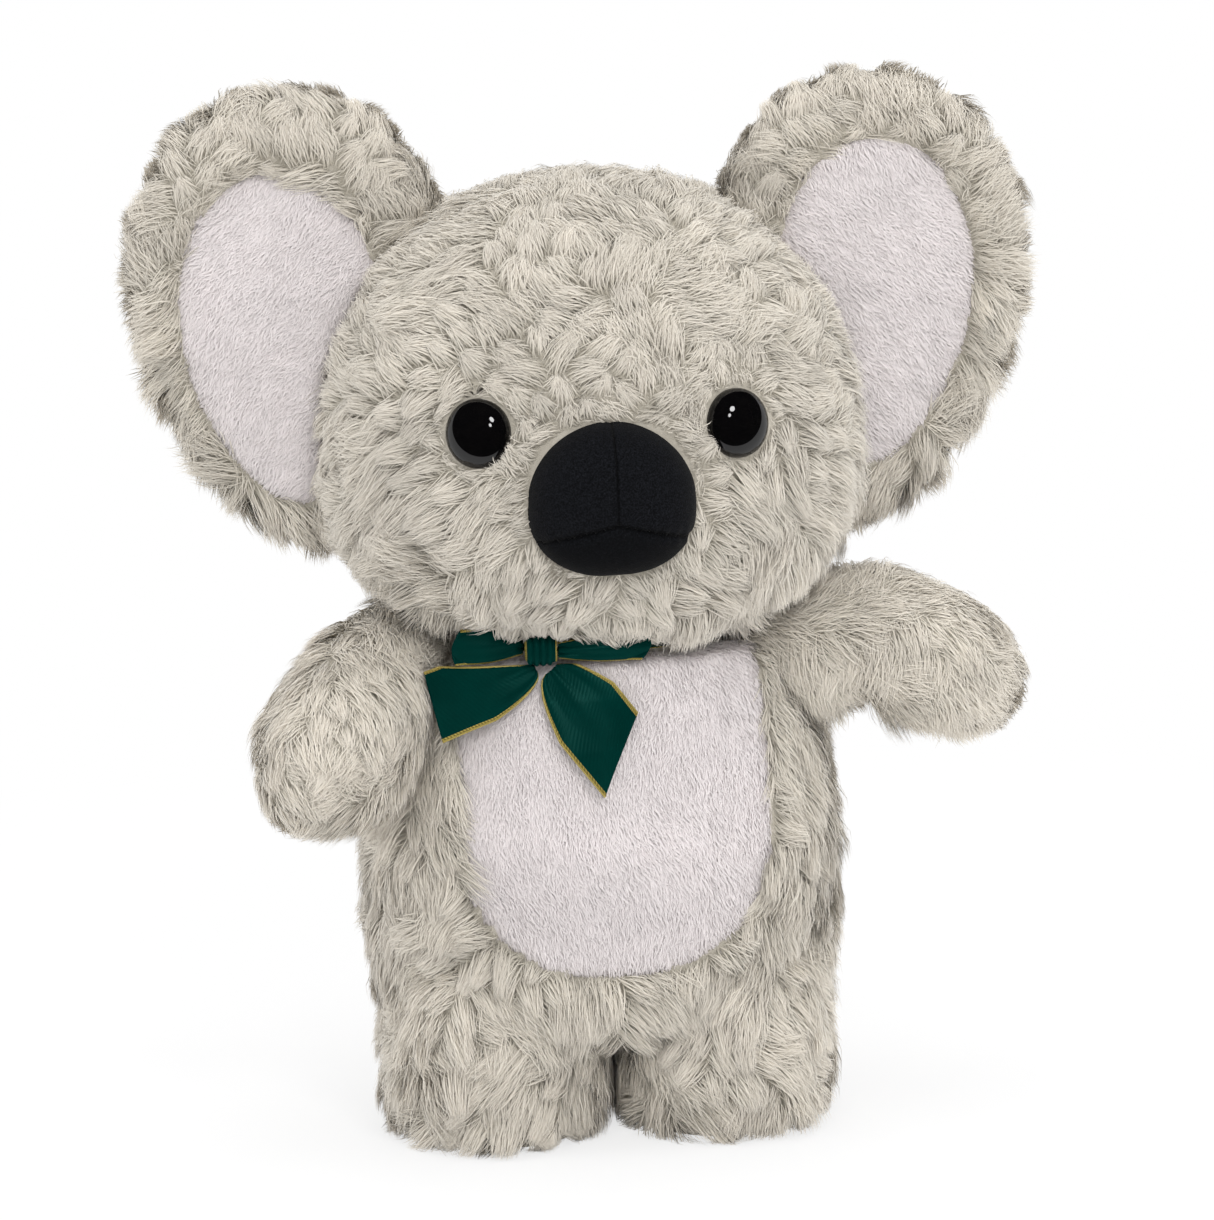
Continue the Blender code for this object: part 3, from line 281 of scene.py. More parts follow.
class Finish(Nodes):
    """A material in the making."""

    def __init__(self, name):
        self.material = bpy.data.materials.new(name)
        self.material.use_nodes = True
        super().__init__(self.material.node_tree, "ShaderNodeOutputMaterial")

    def mixed(self, share, low, high):
        settings = {"data_type": "RGBA"}
        return self.node("ShaderNodeMix", settings, {0: share, 6: low, 7: high}, 2)

    def between(self, value, low, high):
        """0 at low and 1 at high, clamped."""
        sockets = {"Value": value, "From Min": low, "From Max": high}
        return self.node("ShaderNodeMapRange", None, sockets)

    def place(self):
        return self.node("ShaderNodeTexCoord", None, None, "Object")

    def speckle(self, scale, detail=2.0):
        sockets = {"Vector": self.place(), "Scale": scale, "Detail": detail}
        return self.node("ShaderNodeTexNoise", None, sockets)

    def split(self, vector):
        """X of a vector, beside which its Y and Z are outputs 1 and 2."""
        return self.node("ShaderNodeSeparateXYZ", None, {0: vector})

    def along_strand(self):
        """Tone of a lock, and share of the way from its root to its tip."""
        across = self.split(self.node("ShaderNodeUVMap", {"uv_map": "OFBake"}))
        return across, across.beside(1)

    def bump(self, height, distance):
        return self.node("ShaderNodeBump", None, {"Height": height, "Distance": distance})

    def shade(self, **sockets):
        """Ends the material with its shader."""
        sockets = {name.replace("_", " "): value for name, value in sockets.items()}
        self.end(self.node("ShaderNodeBsdfPrincipled", None, sockets))
        return self.material


def dimmed(colour, share):
    return tuple(c * share for c in colour)


def strand_material(name, root, middle, tip, spread, sheen):
    """Pile whose locks differ in tone and lighten from root to tip; the darker roots are painted
    shade, for the shade that falls between the locks.
    """
    finish = Finish(name)
    tone, reach = finish.along_strand()
    low = finish.between(reach, 0.0, 0.45)
    high = finish.between(reach, 0.35, 1.0)
    shades = []
    for share in (1 - spread, 1 + spread):
        lower = finish.mixed(low, dimmed(root, share), dimmed(middle, share))
        shades.append(finish.mixed(high, lower, dimmed(tip, share)))
    colour = finish.mixed(tone, *shades)
    return finish.shade(
        Base_Color=colour, Roughness=0.85, Sheen_Weight=sheen, Sheen_Roughness=0.5,
        Specular_IOR_Level=0.2)


def backing_material(name, low, high):
    """Knitted backing that shows between the tufts, darkened as painted shade that falls between
    them.
    """
    finish = Finish(name)
    patches = finish.speckle(160.0)
    knit = finish.speckle(1900.0)
    colour = finish.mixed(patches, low, high)
    return finish.shade(
        Base_Color=colour, Roughness=0.95, Specular_IOR_Level=0.2,
        Normal=finish.bump(knit, 0.0003))


def nose_material(colour):
    """Brushed black cloth with a fine nap, its lower panel painted darker as shade."""
    finish = Finish("nose_cloth")
    nap = finish.speckle(2300.0, 3.0)
    drift = finish.speckle(260.0)
    flecks = finish.between(nap, 0.40, 0.72)
    shade = finish.mixed(flecks, dimmed(colour, 0.45), dimmed(colour, 2.6))
    shade = finish.mixed(drift * 0.4, shade, dimmed(colour, 0.8))
    across = finish.split(finish.place())
    height = across.beside(2)
    above = height - NOSE_JOIN_Z + across.size() * (NOSE_SEAM_FALL / NOSE_HALF_WIDTH)
    # Painted shade: the lower panel, which faces down, is darkened
    low = finish.between(above, 0.002, -0.004)
    shade = finish.mixed(low * 0.6, shade, dimmed(colour, 0.4))
    slanting = finish.between(above.size(), 0.0010, 0.0002)
    upright_seam = finish.between(across.size(), 0.0006, 0.0001) * finish.between(above, 0.0, 0.001)
    shade = finish.mixed(slanting * 0.8, shade, dimmed(colour, 0.2))
    shade = finish.mixed(upright_seam * 0.7, shade, dimmed(colour, 0.25))
    return finish.shade(
        Base_Color=shade, Roughness=0.92, Specular_IOR_Level=0.08, Sheen_Weight=0.03,
        Sheen_Roughness=0.4, Normal=finish.bump(nap, 0.00018))


def eye_material():
    """Hard black plastic with a wet gloss."""
    finish = Finish("eye_plastic")
    haze = finish.speckle(420.0)
    colour = finish.mixed(haze, paint(4, 4, 5), paint(10, 9, 9))
    roughness = finish.between(haze, -1.0, 2.0) * 0.06
    return finish.shade(Base_Color=colour, Roughness=roughness, Specular_IOR_Level=0.45)


def satin_material(colour, gold):
    """Satin ribbon with gold thread woven into both long edges."""
    finish = Finish("satin")
    across, along = finish.along_strand()
    edge = (across - 0.5).size() > 0.462
    warp = (across * 420.0).wave()
    weft = (along * 5200.0 + across * 60.0).wave()
    thread = (along * 7200.0 + across * 90.0).wave()
    drift = finish.speckle(90.0)
    cloth = finish.mixed(drift, dimmed(colour, 0.75), dimmed(colour, 1.25))
    cloth = finish.mixed(warp * 0.10 + 0.10, cloth, dimmed(colour, 1.9))
    twist = finish.mixed(thread * 0.5 + 0.5, dimmed(gold, 0.45), gold)
    shade = finish.mixed(edge, cloth, twist)
    height = weft * (1 - edge) * 0.25 + thread * edge
    return finish.shade(
        Base_Color=shade, Roughness=0.33 + edge * 0.12, Metallic=edge * 0.3 + 0.20,
        Specular_IOR_Level=0.03, Normal=finish.bump(height, 0.00005))


def grained_material(name, low, high, scale, detail=2.0, height=None, **sockets):
    """Plain material with one fine grain, raised by a height where one is given."""
    finish = Finish(name)
    grain = finish.speckle(scale, detail)
    shade = finish.mixed(grain, low, high)
    if height is not None:
        sockets["Normal"] = finish.bump(grain, height)
    return finish.shade(Base_Color=shade, **sockets)


def gold_material(gold):
    """Twisted gold thread."""
    low = dimmed(gold, 0.6)
    return grained_material("gold_thread", low, gold, 2600.0, Roughness=0.4, Metallic=0.4)


def sole_material(low, high):
    """Close-cut cloth of the soles."""
    return grained_material("sole_cloth", low, high, 1500.0, height=0.0004, Roughness=0.95)


def fibre_material():
    """Loose white filling."""
    low, high = paint(205, 204, 200), paint(244, 243, 240)
    return grained_material("fibre", low, high, 240.0, 6.0, 0.001, Roughness=0.95)


def washer_material():
    """Milky moulded plastic."""
    low, high = paint(205, 208, 210), paint(225, 228, 230)
    return grained_material("washer_plastic", low, high, 800.0, height=0.00004, Roughness=0.4)


def finish_for(name):
    """The material of that name, made the first time that a piece asks for it."""
    made = bpy.data.materials.get("koala_" + name)
    if made is not None:
        return made
    colours = bpy.context.scene.koala_colours
    tip, middle, root = tuple(colours.fur_tip), tuple(colours.fur_middle), tuple(colours.fur_root_shade)
    white = tuple(colours.white)
    makers = {
        "long_pile": lambda: strand_material("long_pile", root, middle, tip, 0.13, 0.25),
        # The long backing is darker than the pile as painted shade between the tufts
        "long_backing": lambda: backing_material("long_backing", dimmed(root, 0.75), middle),
        # The short pile's roots are dimmed as painted shade between its locks
        "short_pile": lambda: strand_material(
            "short_pile", dimmed(white, 0.86), dimmed(white, 0.96), white, 0.08, 0.3),
        # The short backing is dimmed as painted shade between the tufts
        "short_backing": lambda: backing_material("short_backing", dimmed(white, 0.78), white),
        "nose": lambda: nose_material(tuple(colours.nose)),
        "eye": eye_material,
        "satin": lambda: satin_material(tuple(colours.satin), tuple(colours.gold)),
        "gold": lambda: gold_material(tuple(colours.gold)),
        "sole": lambda: sole_material(root, middle),
        "fibre": fibre_material,
        "washer": washer_material,
    }
    made = makers[name]()
    made.name = "koala_" + name
    return made


# Shapes

def signed_power(value, power):
    return np.sign(value) * np.abs(value) ** power


def superellipse(count, power):
    """Unit outline of (across, up)."""
    turn = 2 * np.pi * np.arange(count) / count
    return signed_power(np.cos(turn), 2 / power), signed_power(np.sin(turn), 2 / power)


def fall(share, power):
    """Share of a half width that is left at a share of the way to the tip."""
    return np.maximum(0.0, 1 - np.abs(share) ** power) ** (1 / power)


def unit(vectors):
    return vectors / np.maximum(np.linalg.norm(vectors, axis=-1, keepdims=True), 1e-9)


def tangent(vectors, normals):
    """Directions with their part along the normals taken out."""
    return unit(vectors - normals * np.sum(vectors * normals, axis=-1, keepdims=True))


def rough(points, scale):
    """Smooth noise at points, from -1 to 1."""
    return np.array([noise.noise(Vector(p)) for p in (points / scale).tolist()])


def mesh_of(name, points, faces, uv=None, normals=None):
    """Mesh from arrays of triangles and quads."""
    mesh = bpy.data.meshes.new(name)
    loops = np.concatenate([f.ravel() for f in faces]).astype(np.int32)
    sizes = np.concatenate([np.full(len(f), f.shape[1]) for f in faces])
    starts = np.concatenate([[0], np.cumsum(sizes)[:-1]]).astype(np.int32)
    mesh.vertices.add(len(points))
    mesh.vertices.foreach_set("co", points.astype(np.float32).ravel())
    mesh.loops.add(len(loops))
    mesh.loops.foreach_set("vertex_index", loops)
    mesh.polygons.add(len(sizes))
    mesh.polygons.foreach_set("loop_start", starts)
    if uv is not None:
        layer = mesh.uv_layers.new(name="OFBake")
        layer.data.foreach_set("uv", uv[loops].astype(np.float32).ravel())
    mesh.update(calc_edges=True)
    mesh.shade_smooth()
    if normals is not None:
        mesh.normals_split_custom_set_from_vertices(normals.tolist())
    return mesh


def piece(name, mesh, finish, body):
    """A piece of the koala, which rides on its body."""
    made = bpy.data.objects.new(name, mesh)
    bpy.context.scene.collection.objects.link(made)
    mesh.materials.append(finish_for(finish))
    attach(made, body)
    return made


def stuffed_skin(name, form, node, body):
    """Knitted skin of a stuffed part, which its long pile grows on."""
    skin = piece(name, form.mesh(name), "long_backing", body)
    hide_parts(node)


def thickened(made, thickness, offset=-1):
    """Gives a cloth piece its thickness, inward unless offset says otherwise."""
    cloth = made.modifiers.new("cloth", "SOLIDIFY")
    cloth.thickness, cloth.offset = thickness, offset


class Form:
    """Closed or open surface of quads and triangles, with outward normals at its points."""

    def __init__(self, points, quads, triangles=None, closed=True):
        self.points = points
        self.quads = quads
        self.caps = np.zeros((0, 3), int) if triangles is None else triangles
        if closed:
            a, b, c = (points[self.triangles()[:, k]] for k in range(3))
            if np.sum(a * np.cross(b, c)) < 0:
                self.quads = self.quads[:, ::-1]
                self.caps = self.caps[:, ::-1]
        self.measure()

    def triangles(self):
        q = self.quads
        return np.concatenate([q[:, [0, 1, 2]], q[:, [0, 2, 3]], self.caps])

    def measure(self):
        triangles = self.triangles()
        a, b, c = (self.points[triangles[:, k]] for k in range(3))
        cross = np.cross(b - a, c - a)
        self.areas = np.linalg.norm(cross, axis=1) / 2
        normals = np.zeros_like(self.points)
        for k in range(3):
            np.add.at(normals, triangles[:, k], cross)
        self.normals = unit(normals)

    def lumps(self, height, scale):
        """Uneven swelling, as stuffed cloth has it, of up to a height at each point."""
        return height * (0.5 + 0.5 * rough(self.points, scale))

    def swell(self, heights):
        """Moves each point out along its normal."""
        self.points = self.points + self.normals * heights[:, None]
        self.measure()

    def mirrored(self):
        flipped = self.quads[:, ::-1], self.caps[:, ::-1]
        return Form(self.points * (-1, 1, 1), *flipped, closed=False)

    def mesh(self, name, uv=None):
        return mesh_of(name, self.points, [self.quads, self.caps], uv)


def loft(rings, low_tip, high_tip):
    """Closed form through rings of equal length, from tip to tip."""
    levels, around, _ = rings.shape
    points = np.concatenate([rings.reshape(-1, 3), [low_tip], [high_tip]])
    grid = np.arange(levels * around).reshape(levels, around)
    after = np.roll(grid, -1, axis=1)
    quads = np.stack([grid[:-1], after[:-1], after[1:], grid[1:]], axis=-1).reshape(-1, 4)
    count = levels * around
    low = np.stack([after[0], grid[0], np.full(around, count)], axis=-1)
    high = np.stack([grid[-1], after[-1], np.full(around, count + 1)], axis=-1)
    return Form(points, quads, np.concatenate([low, high]))


def upright(levels, around, centre, power, low_z, high_z):
    """Form of level rings, from rows of (z, half width, half depth)."""
    across, along = superellipse(around, power)
    rings = np.zeros((len(levels), around, 3))
    rings[:, :, 0] = centre[0] + levels[:, 1, None] * across
    rings[:, :, 1] = centre[1] + levels[:, 2, None] * along
    rings[:, :, 2] = levels[:, 0, None]
    return loft(rings, (*centre, low_z), (*centre, high_z))


OUTLINE_POINTS = 144
OUTLINE_TURN = 2 * np.pi * np.arange(OUTLINE_POINTS) / OUTLINE_POINTS


def outline_radii(node, centre):
    """How far a node reaches from centre in each direction of the front view."""
    mesh = frame["nodes"][node].data
    places = np.array([v.co for v in mesh.vertices])[:, [0, 2]] - centre
    ends = np.array([e.vertices for e in mesh.edges])
    start, run = places[ends[:, 0]], places[ends[:, 1]] - places[ends[:, 0]]
    radii = []
    for turn in OUTLINE_TURN:
        ray = np.array((math.cos(turn), math.sin(turn)))
        cross = ray[0] * run[:, 1] - ray[1] * run[:, 0]
        cross = np.where(np.abs(cross) < 1e-12, 1e-12, cross)
        reach = (start[:, 0] * run[:, 1] - start[:, 1] * run[:, 0]) / cross
        share = (start[:, 0] * ray[1] - start[:, 1] * ray[0]) / cross
        met = (share >= 0) & (share <= 1) & (reach > 0)
        radii.append(reach[met].max())
    radii = np.array(radii)
    for _ in range(3):
        radii = (np.roll(radii, 1) + 2 * radii + np.roll(radii, -1)) / 4
    return radii


def radius_at(radii, across, up):
    """Outline's radius in the direction of each (across, up)."""
    turn = np.mod(np.arctan2(up, across) / (2 * np.pi) * len(radii), len(radii))
    low = np.floor(turn).astype(int) % len(radii)
    share = turn - np.floor(turn)
    return radii[low] * (1 - share) + radii[(low + 1) % len(radii)] * share


# Pile

def scatter(form, count, rng):
    """Evenly spread places on a form, with their normals."""
    triangles = form.triangles()
    bands = np.cumsum(form.areas)
    picks = (np.arange(count) + rng.random(count)) / count * bands[-1]
    chosen = triangles[np.minimum(np.searchsorted(bands, picks), len(triangles) - 1)]
    first, second = np.sqrt(rng.random(count)), rng.random(count)
    shares = np.stack([1 - first, first * (1 - second), first * second], axis=1)[:, :, None]
    places = np.sum(form.points[chosen] * shares, axis=1)
    return places, unit(np.sum(form.normals[chosen] * shares, axis=1))


def thinned(places, spacing):
    """Which places to keep so that none lies within a spacing of another."""
    kept, cells = [], {}
    keys = np.floor(places / spacing).astype(int).tolist()
    near = [(i, j, k) for i in (-1, 0, 1) for j in (-1, 0, 1) for k in (-1, 0, 1)]
    for index, (key, place) in enumerate(zip(keys, places.tolist())):
        free = True
        for i, j, k in near:
            for other in cells.get((key[0] + i, key[1] + j, key[2] + k), ()):
                if math.dist(place, other) < spacing:
                    free = False
                    break
            if not free:
                break
        if free:
            cells.setdefault(tuple(key), []).append(place)
            kept.append(index)
    return np.array(kept)


def turned(vectors, axes, angles):
    """Vectors square to their axes, turned about them."""
    return vectors * np.cos(angles)[:, None] + np.cross(axes, vectors) * np.sin(angles)[:, None]


class Pile:
    """Sizes of one kind of pile. Angles are in radians, lengths in metres."""

    def __init__(
            self, length, width, tuft, gather, lift, swirl, swirl_size, density, droop=0.25,
            segments=(0.0, 0.36, 0.72), round_share=0.4, curl=0.0004, bend=0.6, mixing=0.17,
            tone=0.5):
        self.length, self.width, self.tuft, self.gather = length, width, tuft, gather
        self.lift, self.swirl, self.swirl_size, self.density = lift, swirl, swirl_size, density
        self.droop, self.segments, self.round_share = droop, segments, round_share
        self.curl, self.bend, self.mixing, self.tone = curl, bend, mixing, tone


# How unevenly pile grows, from tuft to tuft and from lock to lock
TUFT_TRIES, TUFT_NEAREST = 7, 0.82
TUFT_LENGTH_SPREAD, TUFT_LIFT_SPREAD, TUFT_TONE_SPREAD, TUFT_GATHER_SPREAD = 0.28, 0.40, 0.75, 0.5
TONE_PATCH, TONE_PATCH_SIZE = 2.2, 0.021
GATHER_PATCH, GATHER_PATCH_SIZE, GATHER_LIMITS = 1.1, 0.026, (0.25, 1.6)
LOCK_LENGTH_SPREAD, LOCK_TURN_SPREAD, LOCK_SIDE_SPREAD, LOCK_LIFT_SPREAD = 0.45, 0.30, 0.3, 0.12
TUFT_TONE_SHARE, LOCK_TONE_SHARE, LOCK_EDGE_TONE = 0.16, 0.10, 0.012
LOWEST_PILE_Z = 0.0004


def plant_tufts(form, pile, flow, rng):
    """Middles of the tufts, the normals there and the directions in which they lie."""
    tries = int(form.areas.sum() / pile.tuft**2 * TUFT_TRIES)
    places, facing = scatter(form, tries, rng)
    order = rng.permutation(len(places))
    places, facing = places[order], facing[order]
    kept = thinned(places, pile.tuft * TUFT_NEAREST)
    places, facing = places[kept], facing[kept]
    run = tangent(flow(places), facing)
    return places, facing, turned(run, facing, pile.swirl * rough(places, pile.swirl_size) * 2)


def nearest(places, points):
    """Number of the place that is nearest to each point."""
    tree = kdtree.KDTree(len(places))
    for index, place in enumerate(places.tolist()):
        tree.insert(place, index)
    tree.balance()
    return np.array([tree.find(point)[1] for point in points.tolist()])


def lock_points(share, base, normal, direction, reach, rise, bend):
    """Middle of each lock at a share of its length."""
    up = reach * np.sin(rise) * math.sin(share * math.pi / 2)
    forward = (reach * np.cos(rise) * share**1.25)[:, None]
    beside = np.cross(direction, normal) * bend[:, None] * share
    return base + normal * up[:, None] + (direction + beside) * forward


def grow(form, pile, flow, keep, seed, shorten=None, bounded=None, painted_light=None):
    """Locks of pile on a form: points, faces, uv, shading normals and the root of each lock."""
    rng = np.random.default_rng(seed)
    places, facing, run = plant_tufts(form, pile, flow, rng)
    roots, normals = scatter(form, int(form.areas.sum() * pile.density), rng)
    if keep is not None:
        inside = keep(roots, normals)
        roots, normals = roots[inside], normals[inside]
    count = len(roots)
    tuft = nearest(places, roots + pile.mixing * pile.tuft * rng.normal(size=(count, 3)))

    def spread(share):
        return share * rng.uniform(-1, 1, len(places))

    tuft_length = pile.length * (1 + spread(TUFT_LENGTH_SPREAD))
    tuft_lift = pile.lift * (1 + spread(TUFT_LIFT_SPREAD))
    tuft_tone = TUFT_TONE_SPREAD * rng.normal(0, 1, len(places))
    tuft_tone = tuft_tone + TONE_PATCH * rough(places, TONE_PATCH_SIZE)
    tuft_bend = spread(pile.bend)
    patchy = 1 + spread(TUFT_GATHER_SPREAD) + GATHER_PATCH * rough(places, GATHER_PATCH_SIZE)
    tuft_gather = pile.gather * np.clip(patchy, *GATHER_LIMITS)
    if shorten is not None:
        tuft_length = tuft_length * shorten(places)
    length = tuft_length[tuft] * (1 - LOCK_LENGTH_SPREAD * rng.random(count) ** 1.5)
    along = tangent(run[tuft] + LOCK_TURN_SPREAD * rng.normal(size=(count, 3)), normals)
    lift = tuft_lift[tuft] + LOCK_LIFT_SPREAD * rng.normal(size=count)
    side = unit(np.cross(along, normals) + LOCK_SIDE_SPREAD * rng.normal(size=(count, 3)))
    curl = pile.curl * rng.normal(size=count)
    own_tone = rng.normal(0, 1, count)
    tone = pile.tone + TUFT_TONE_SHARE * tuft_tone[tuft] + LOCK_TONE_SHARE * own_tone
    # Painted light, where it is given, is added to the locks' tone
    if painted_light is not None:
        tone = 0.5 * (tone - 0.5) + 0.5 + painted_light(roots)
    tone = np.clip(tone, 0.02, 0.98)
    width = pile.width * (0.7 + 0.6 * rng.random(count))
    offset = (roots - places[tuft]) / pile.tuft
    offset = offset - normals * np.sum(offset * normals, axis=1, keepdims=True)
    shade = unit(normals + offset * pile.round_share)

    points, shading, uv = [], [], []
    for share in (*pile.segments, 1.0):
        own = lock_points(share, roots, normals, along, length, lift, tuft_bend[tuft])
        of_tuft = (each[tuft] for each in (places, facing, run, tuft_length, tuft_lift, tuft_bend))
        shared = lock_points(share, *of_tuft)
        drawn = (tuft_gather[tuft] * share**1.15)[:, None]
        middle = own * (1 - drawn) + shared * drawn
        middle += side * (curl * math.sin(share * math.pi * 1.2))[:, None]
        middle[:, 2] -= pile.droop * length * share**2
        if bounded is not None:
            middle = bounded(middle)
        if share < 1.0:
            half = side * (width * (1 - share**2.2) * (0.75 + 0.5 * share) / 2)[:, None]
            points += [middle - half, middle + half]
            shading += [unit(shade - side * 0.2), unit(shade + side * 0.2)]
            for edge in (-LOCK_EDGE_TONE, LOCK_EDGE_TONE):
                uv.append(np.stack([tone + edge, np.full(count, share)], axis=1))
        else:
            points.append(middle)
            shading.append(shade)
            uv.append(np.stack([tone, np.ones(count)], axis=1))
    rows = len(points)
    points = np.stack(points, axis=1).reshape(-1, 3)
    points[:, 2] = np.maximum(points[:, 2], LOWEST_PILE_Z)
    shading = np.stack(shading, axis=1).reshape(-1, 3)
    uv = np.stack(uv, axis=1).reshape(-1, 2)
    first = np.arange(count)[:, None] * rows
    quads = [first + np.array((k, k + 1, k + 3, k + 2)) for k in range(0, rows - 3, 2)]
    tips = first + np.array((rows - 3, rows - 2, rows - 1))
    return points, np.stack(quads, axis=1), tips, uv, shading, roots


def on_side(grown, side):
    """Grown pile as it is for a side of 1, or mirrored for a side of -1."""
    points, quads, tips, uv, shading, roots = grown
    flip = np.array((side, 1, 1))
    return points * flip, quads[..., ::side], tips[..., ::side], uv, shading * flip, roots * flip


def pile_pieces(names, grown, kind, body, part_of=None):
    """Pieces of pile, each with the locks whose number part_of gives."""
    points, quads, tips, uv, shading, roots = grown
    rows = len(points) // len(roots)
    part = np.zeros(len(roots)) if part_of is None else part_of(roots)
    for index, name in enumerate(names):
        chosen = np.flatnonzero(part == index)
        taken = (chosen[:, None] * rows + np.arange(rows)).ravel()
        first = np.arange(len(chosen)) * rows - chosen * rows
        faces = [
            (quads[chosen] + first[:, None, None]).reshape(-1, 4),
            tips[chosen] + first[:, None],
        ]
        mesh = mesh_of(name, points[taken], faces, uv[taken], shading[taken])
        piece(name, mesh, kind, body)


def long_pile(**changes):
    sizes = bpy.context.scene.koala_pile
    given = dict(
        length=sizes.length, width=sizes.width, tuft=sizes.tuft, gather=sizes.gather, lift=0.42,
        swirl=1.1, swirl_size=0.018, density=2.8e6)
    given.update(changes)
    return Pile(**given)


def short_pile():
    """Close, smooth pile of the white panels."""
    sizes = bpy.context.scene.koala_pile
    return Pile(
        length=sizes.short_length, width=0.00044, tuft=0.0036, gather=0.12, lift=0.24,
        swirl=0.3, swirl_size=0.03, density=3.0e6, droop=0.05, segments=(0.0, 0.55),
        round_share=0.06, curl=0.00015, bend=0.2)


# Head

def head_sizes(z):
    """Half width and half depth of the head at a height."""
    high = (z - HEAD_WIDEST_Z) / HEAD_RISE
    low = (HEAD_WIDEST_Z - z) / HEAD_DROP
    up = z > HEAD_WIDEST_Z
    width = np.where(up, fall(high, HEAD_RISE_POWER), fall(low, HEAD_DROP_POWER))
    depth = np.where(up, fall(high, HEAD_RISE_POWER), fall(low, HEAD_CHIN_POWER))
    return HEAD_HALF_WIDTH * width, HEAD_HALF_DEPTH * depth


def face_point(x, z):
    """Place on the front of the head."""
    width, depth = head_sizes(np.array(z))
    return Vector((x, BODY_Y - float(depth) * float(fall(x / float(width), HEAD_PLAN_POWER)), z))


def in_head(points, margin):
    width, depth = head_sizes(points[:, 2])
    reach = (np.abs(points[:, 0]) / (width + margin + 1e-9)) ** HEAD_PLAN_POWER
    reach += (np.abs(points[:, 1] - BODY_Y) / (depth + margin + 1e-9)) ** HEAD_PLAN_POWER
    return (reach < 1) & (width > 0)


def head_form():
    rings = 44
    turn = np.pi * (np.arange(1, rings) / rings - 0.5)
    share = np.sin(turn)
    z = HEAD_WIDEST_Z + np.where(share < 0, share * HEAD_DROP, share * HEAD_RISE)
    levels = np.stack([z, *head_sizes(z)], axis=1)
    low_z, high_z = HEAD_WIDEST_Z - HEAD_DROP, HEAD_WIDEST_Z + HEAD_RISE
    form = upright(levels, 2 * rings, (0, BODY_Y), HEAD_PLAN_POWER, low_z, high_z)
    for height, spacing in HEAD_LUMPS:
        form.swell(form.lumps(height, spacing))
    lowest = NECK_Z + 0.0008
    radius = np.hypot(form.points[:, 0], form.points[:, 1] - BODY_Y)
    under = (radius < NECK_RADIUS + 0.0015) & (form.points[:, 2] < lowest)
    form.points[under, 2] = lowest
    form.measure()
    return form


def in_nose(points, margin):
    reach = np.abs(points[:, 0] / (NOSE_HALF_WIDTH + margin)) ** NOSE_POWER
    reach += np.abs((points[:, 2] - NOSE_Z) / (NOSE_HALF_HEIGHT + margin)) ** NOSE_POWER
    return (reach < 1) & (points[:, 1] < BODY_Y)


def eye_matrix(side):
    """Places local +Z along the head's outward direction at the eye."""
    step = EYE_RADIUS / 2
    across = face_point(EYE_X + step, EYE_Z) - face_point(EYE_X - step, EYE_Z)
    up = face_point(EYE_X, EYE_Z + step) - face_point(EYE_X, EYE_Z - step)
    out = across.cross(up).normalized()
    level = Vector((0, 0, 1)).cross(out).normalized()
    made = Matrix((level, out.cross(level), out)).transposed().to_4x4()
    made.translation = face_point(EYE_X, EYE_Z) + out * 0.0004
    return Matrix.Scale(side, 4, Vector((1, 0, 0))) @ made


def eye_place(side):
    return np.array((side * EYE_X, face_point(EYE_X, EYE_Z).y, EYE_Z))


def head_flow(places):
    """Hair runs away from the nose and the eyes, and hangs a little at the sides and the back."""
    nose = np.array((0, NOSE_CENTRE_Y, NOSE_Z))
    run = unit(places - nose) + np.array((0, 0, -0.25))
    for side in (1, -1):
        apart = places - eye_place(side)
        reach = np.linalg.norm(apart, axis=1, keepdims=True)
        run += unit(apart) * 2.0 * np.exp(-np.maximum(reach - EYE_RADIUS, 0) / 0.0030)
    return run


def nose_reach(places):
    """Distance from the nose's middle as a share of its outline."""
    reach = np.abs(places[:, 0] / NOSE_HALF_WIDTH) ** 2
    return np.sqrt(reach + np.abs((places[:, 2] - NOSE_Z) / NOSE_HALF_HEIGHT) ** 2)


def head_keep(roots, normals):
    """No hair at the neck's opening, under the nose and round the eyes' rims."""
    radius = np.hypot(roots[:, 0], roots[:, 1] - BODY_Y)
    clear = ~((radius < NECK_RADIUS + 0.003) & (roots[:, 2] < NECK_Z + 0.003))
    clear &= ~in_nose(roots, -0.0008)
    for side in (1, -1):
        clear &= np.linalg.norm(roots - eye_place(side), axis=1) > EYE_RADIUS + 0.0009
    return clear


def head_short(places):
    """Hair is shorter round the eyes, the nose and the chin."""
    share = np.clip(0.45 + 0.55 * (nose_reach(places) - 0.9) / 1.1, 0.45, 1.0)
    chin = np.clip((HEAD_LOW[2] + 0.014 - places[:, 2]) / 0.008, 0, 1)
    chin = chin * (np.abs(places[:, 0] + 0.010) < 0.030)
    share = np.where(places[:, 1] > BODY_Y, 1.0, share * (1 - 0.4 * chin))
    for side in (1, -1):
        near = np.linalg.norm(places - eye_place(side), axis=1) / EYE_RADIUS
        share = np.minimum(share, np.clip(0.40 + 0.60 * (near - 1.0) / 1.3, 0.40, 1.0))
    return share


def make_head():
    form = head_form()
    stuffed_skin("head_skin", form, "head_cover", "head")
    grown = grow(form, long_pile(), head_flow, head_keep, 11, head_short)
    names = [f"head_pile_{end}_{side}" for end in ("face", "back") for side in ("left", "right")]

    def quarter(roots):
        return (roots[:, 0] < 0) + 2 * (roots[:, 1] > BODY_Y + 0.006)

    pile_pieces(names, grown, "long_pile", "head", quarter)


# Nose

NOSE_BACK_Y = NOSE_CENTRE_Y + 0.006
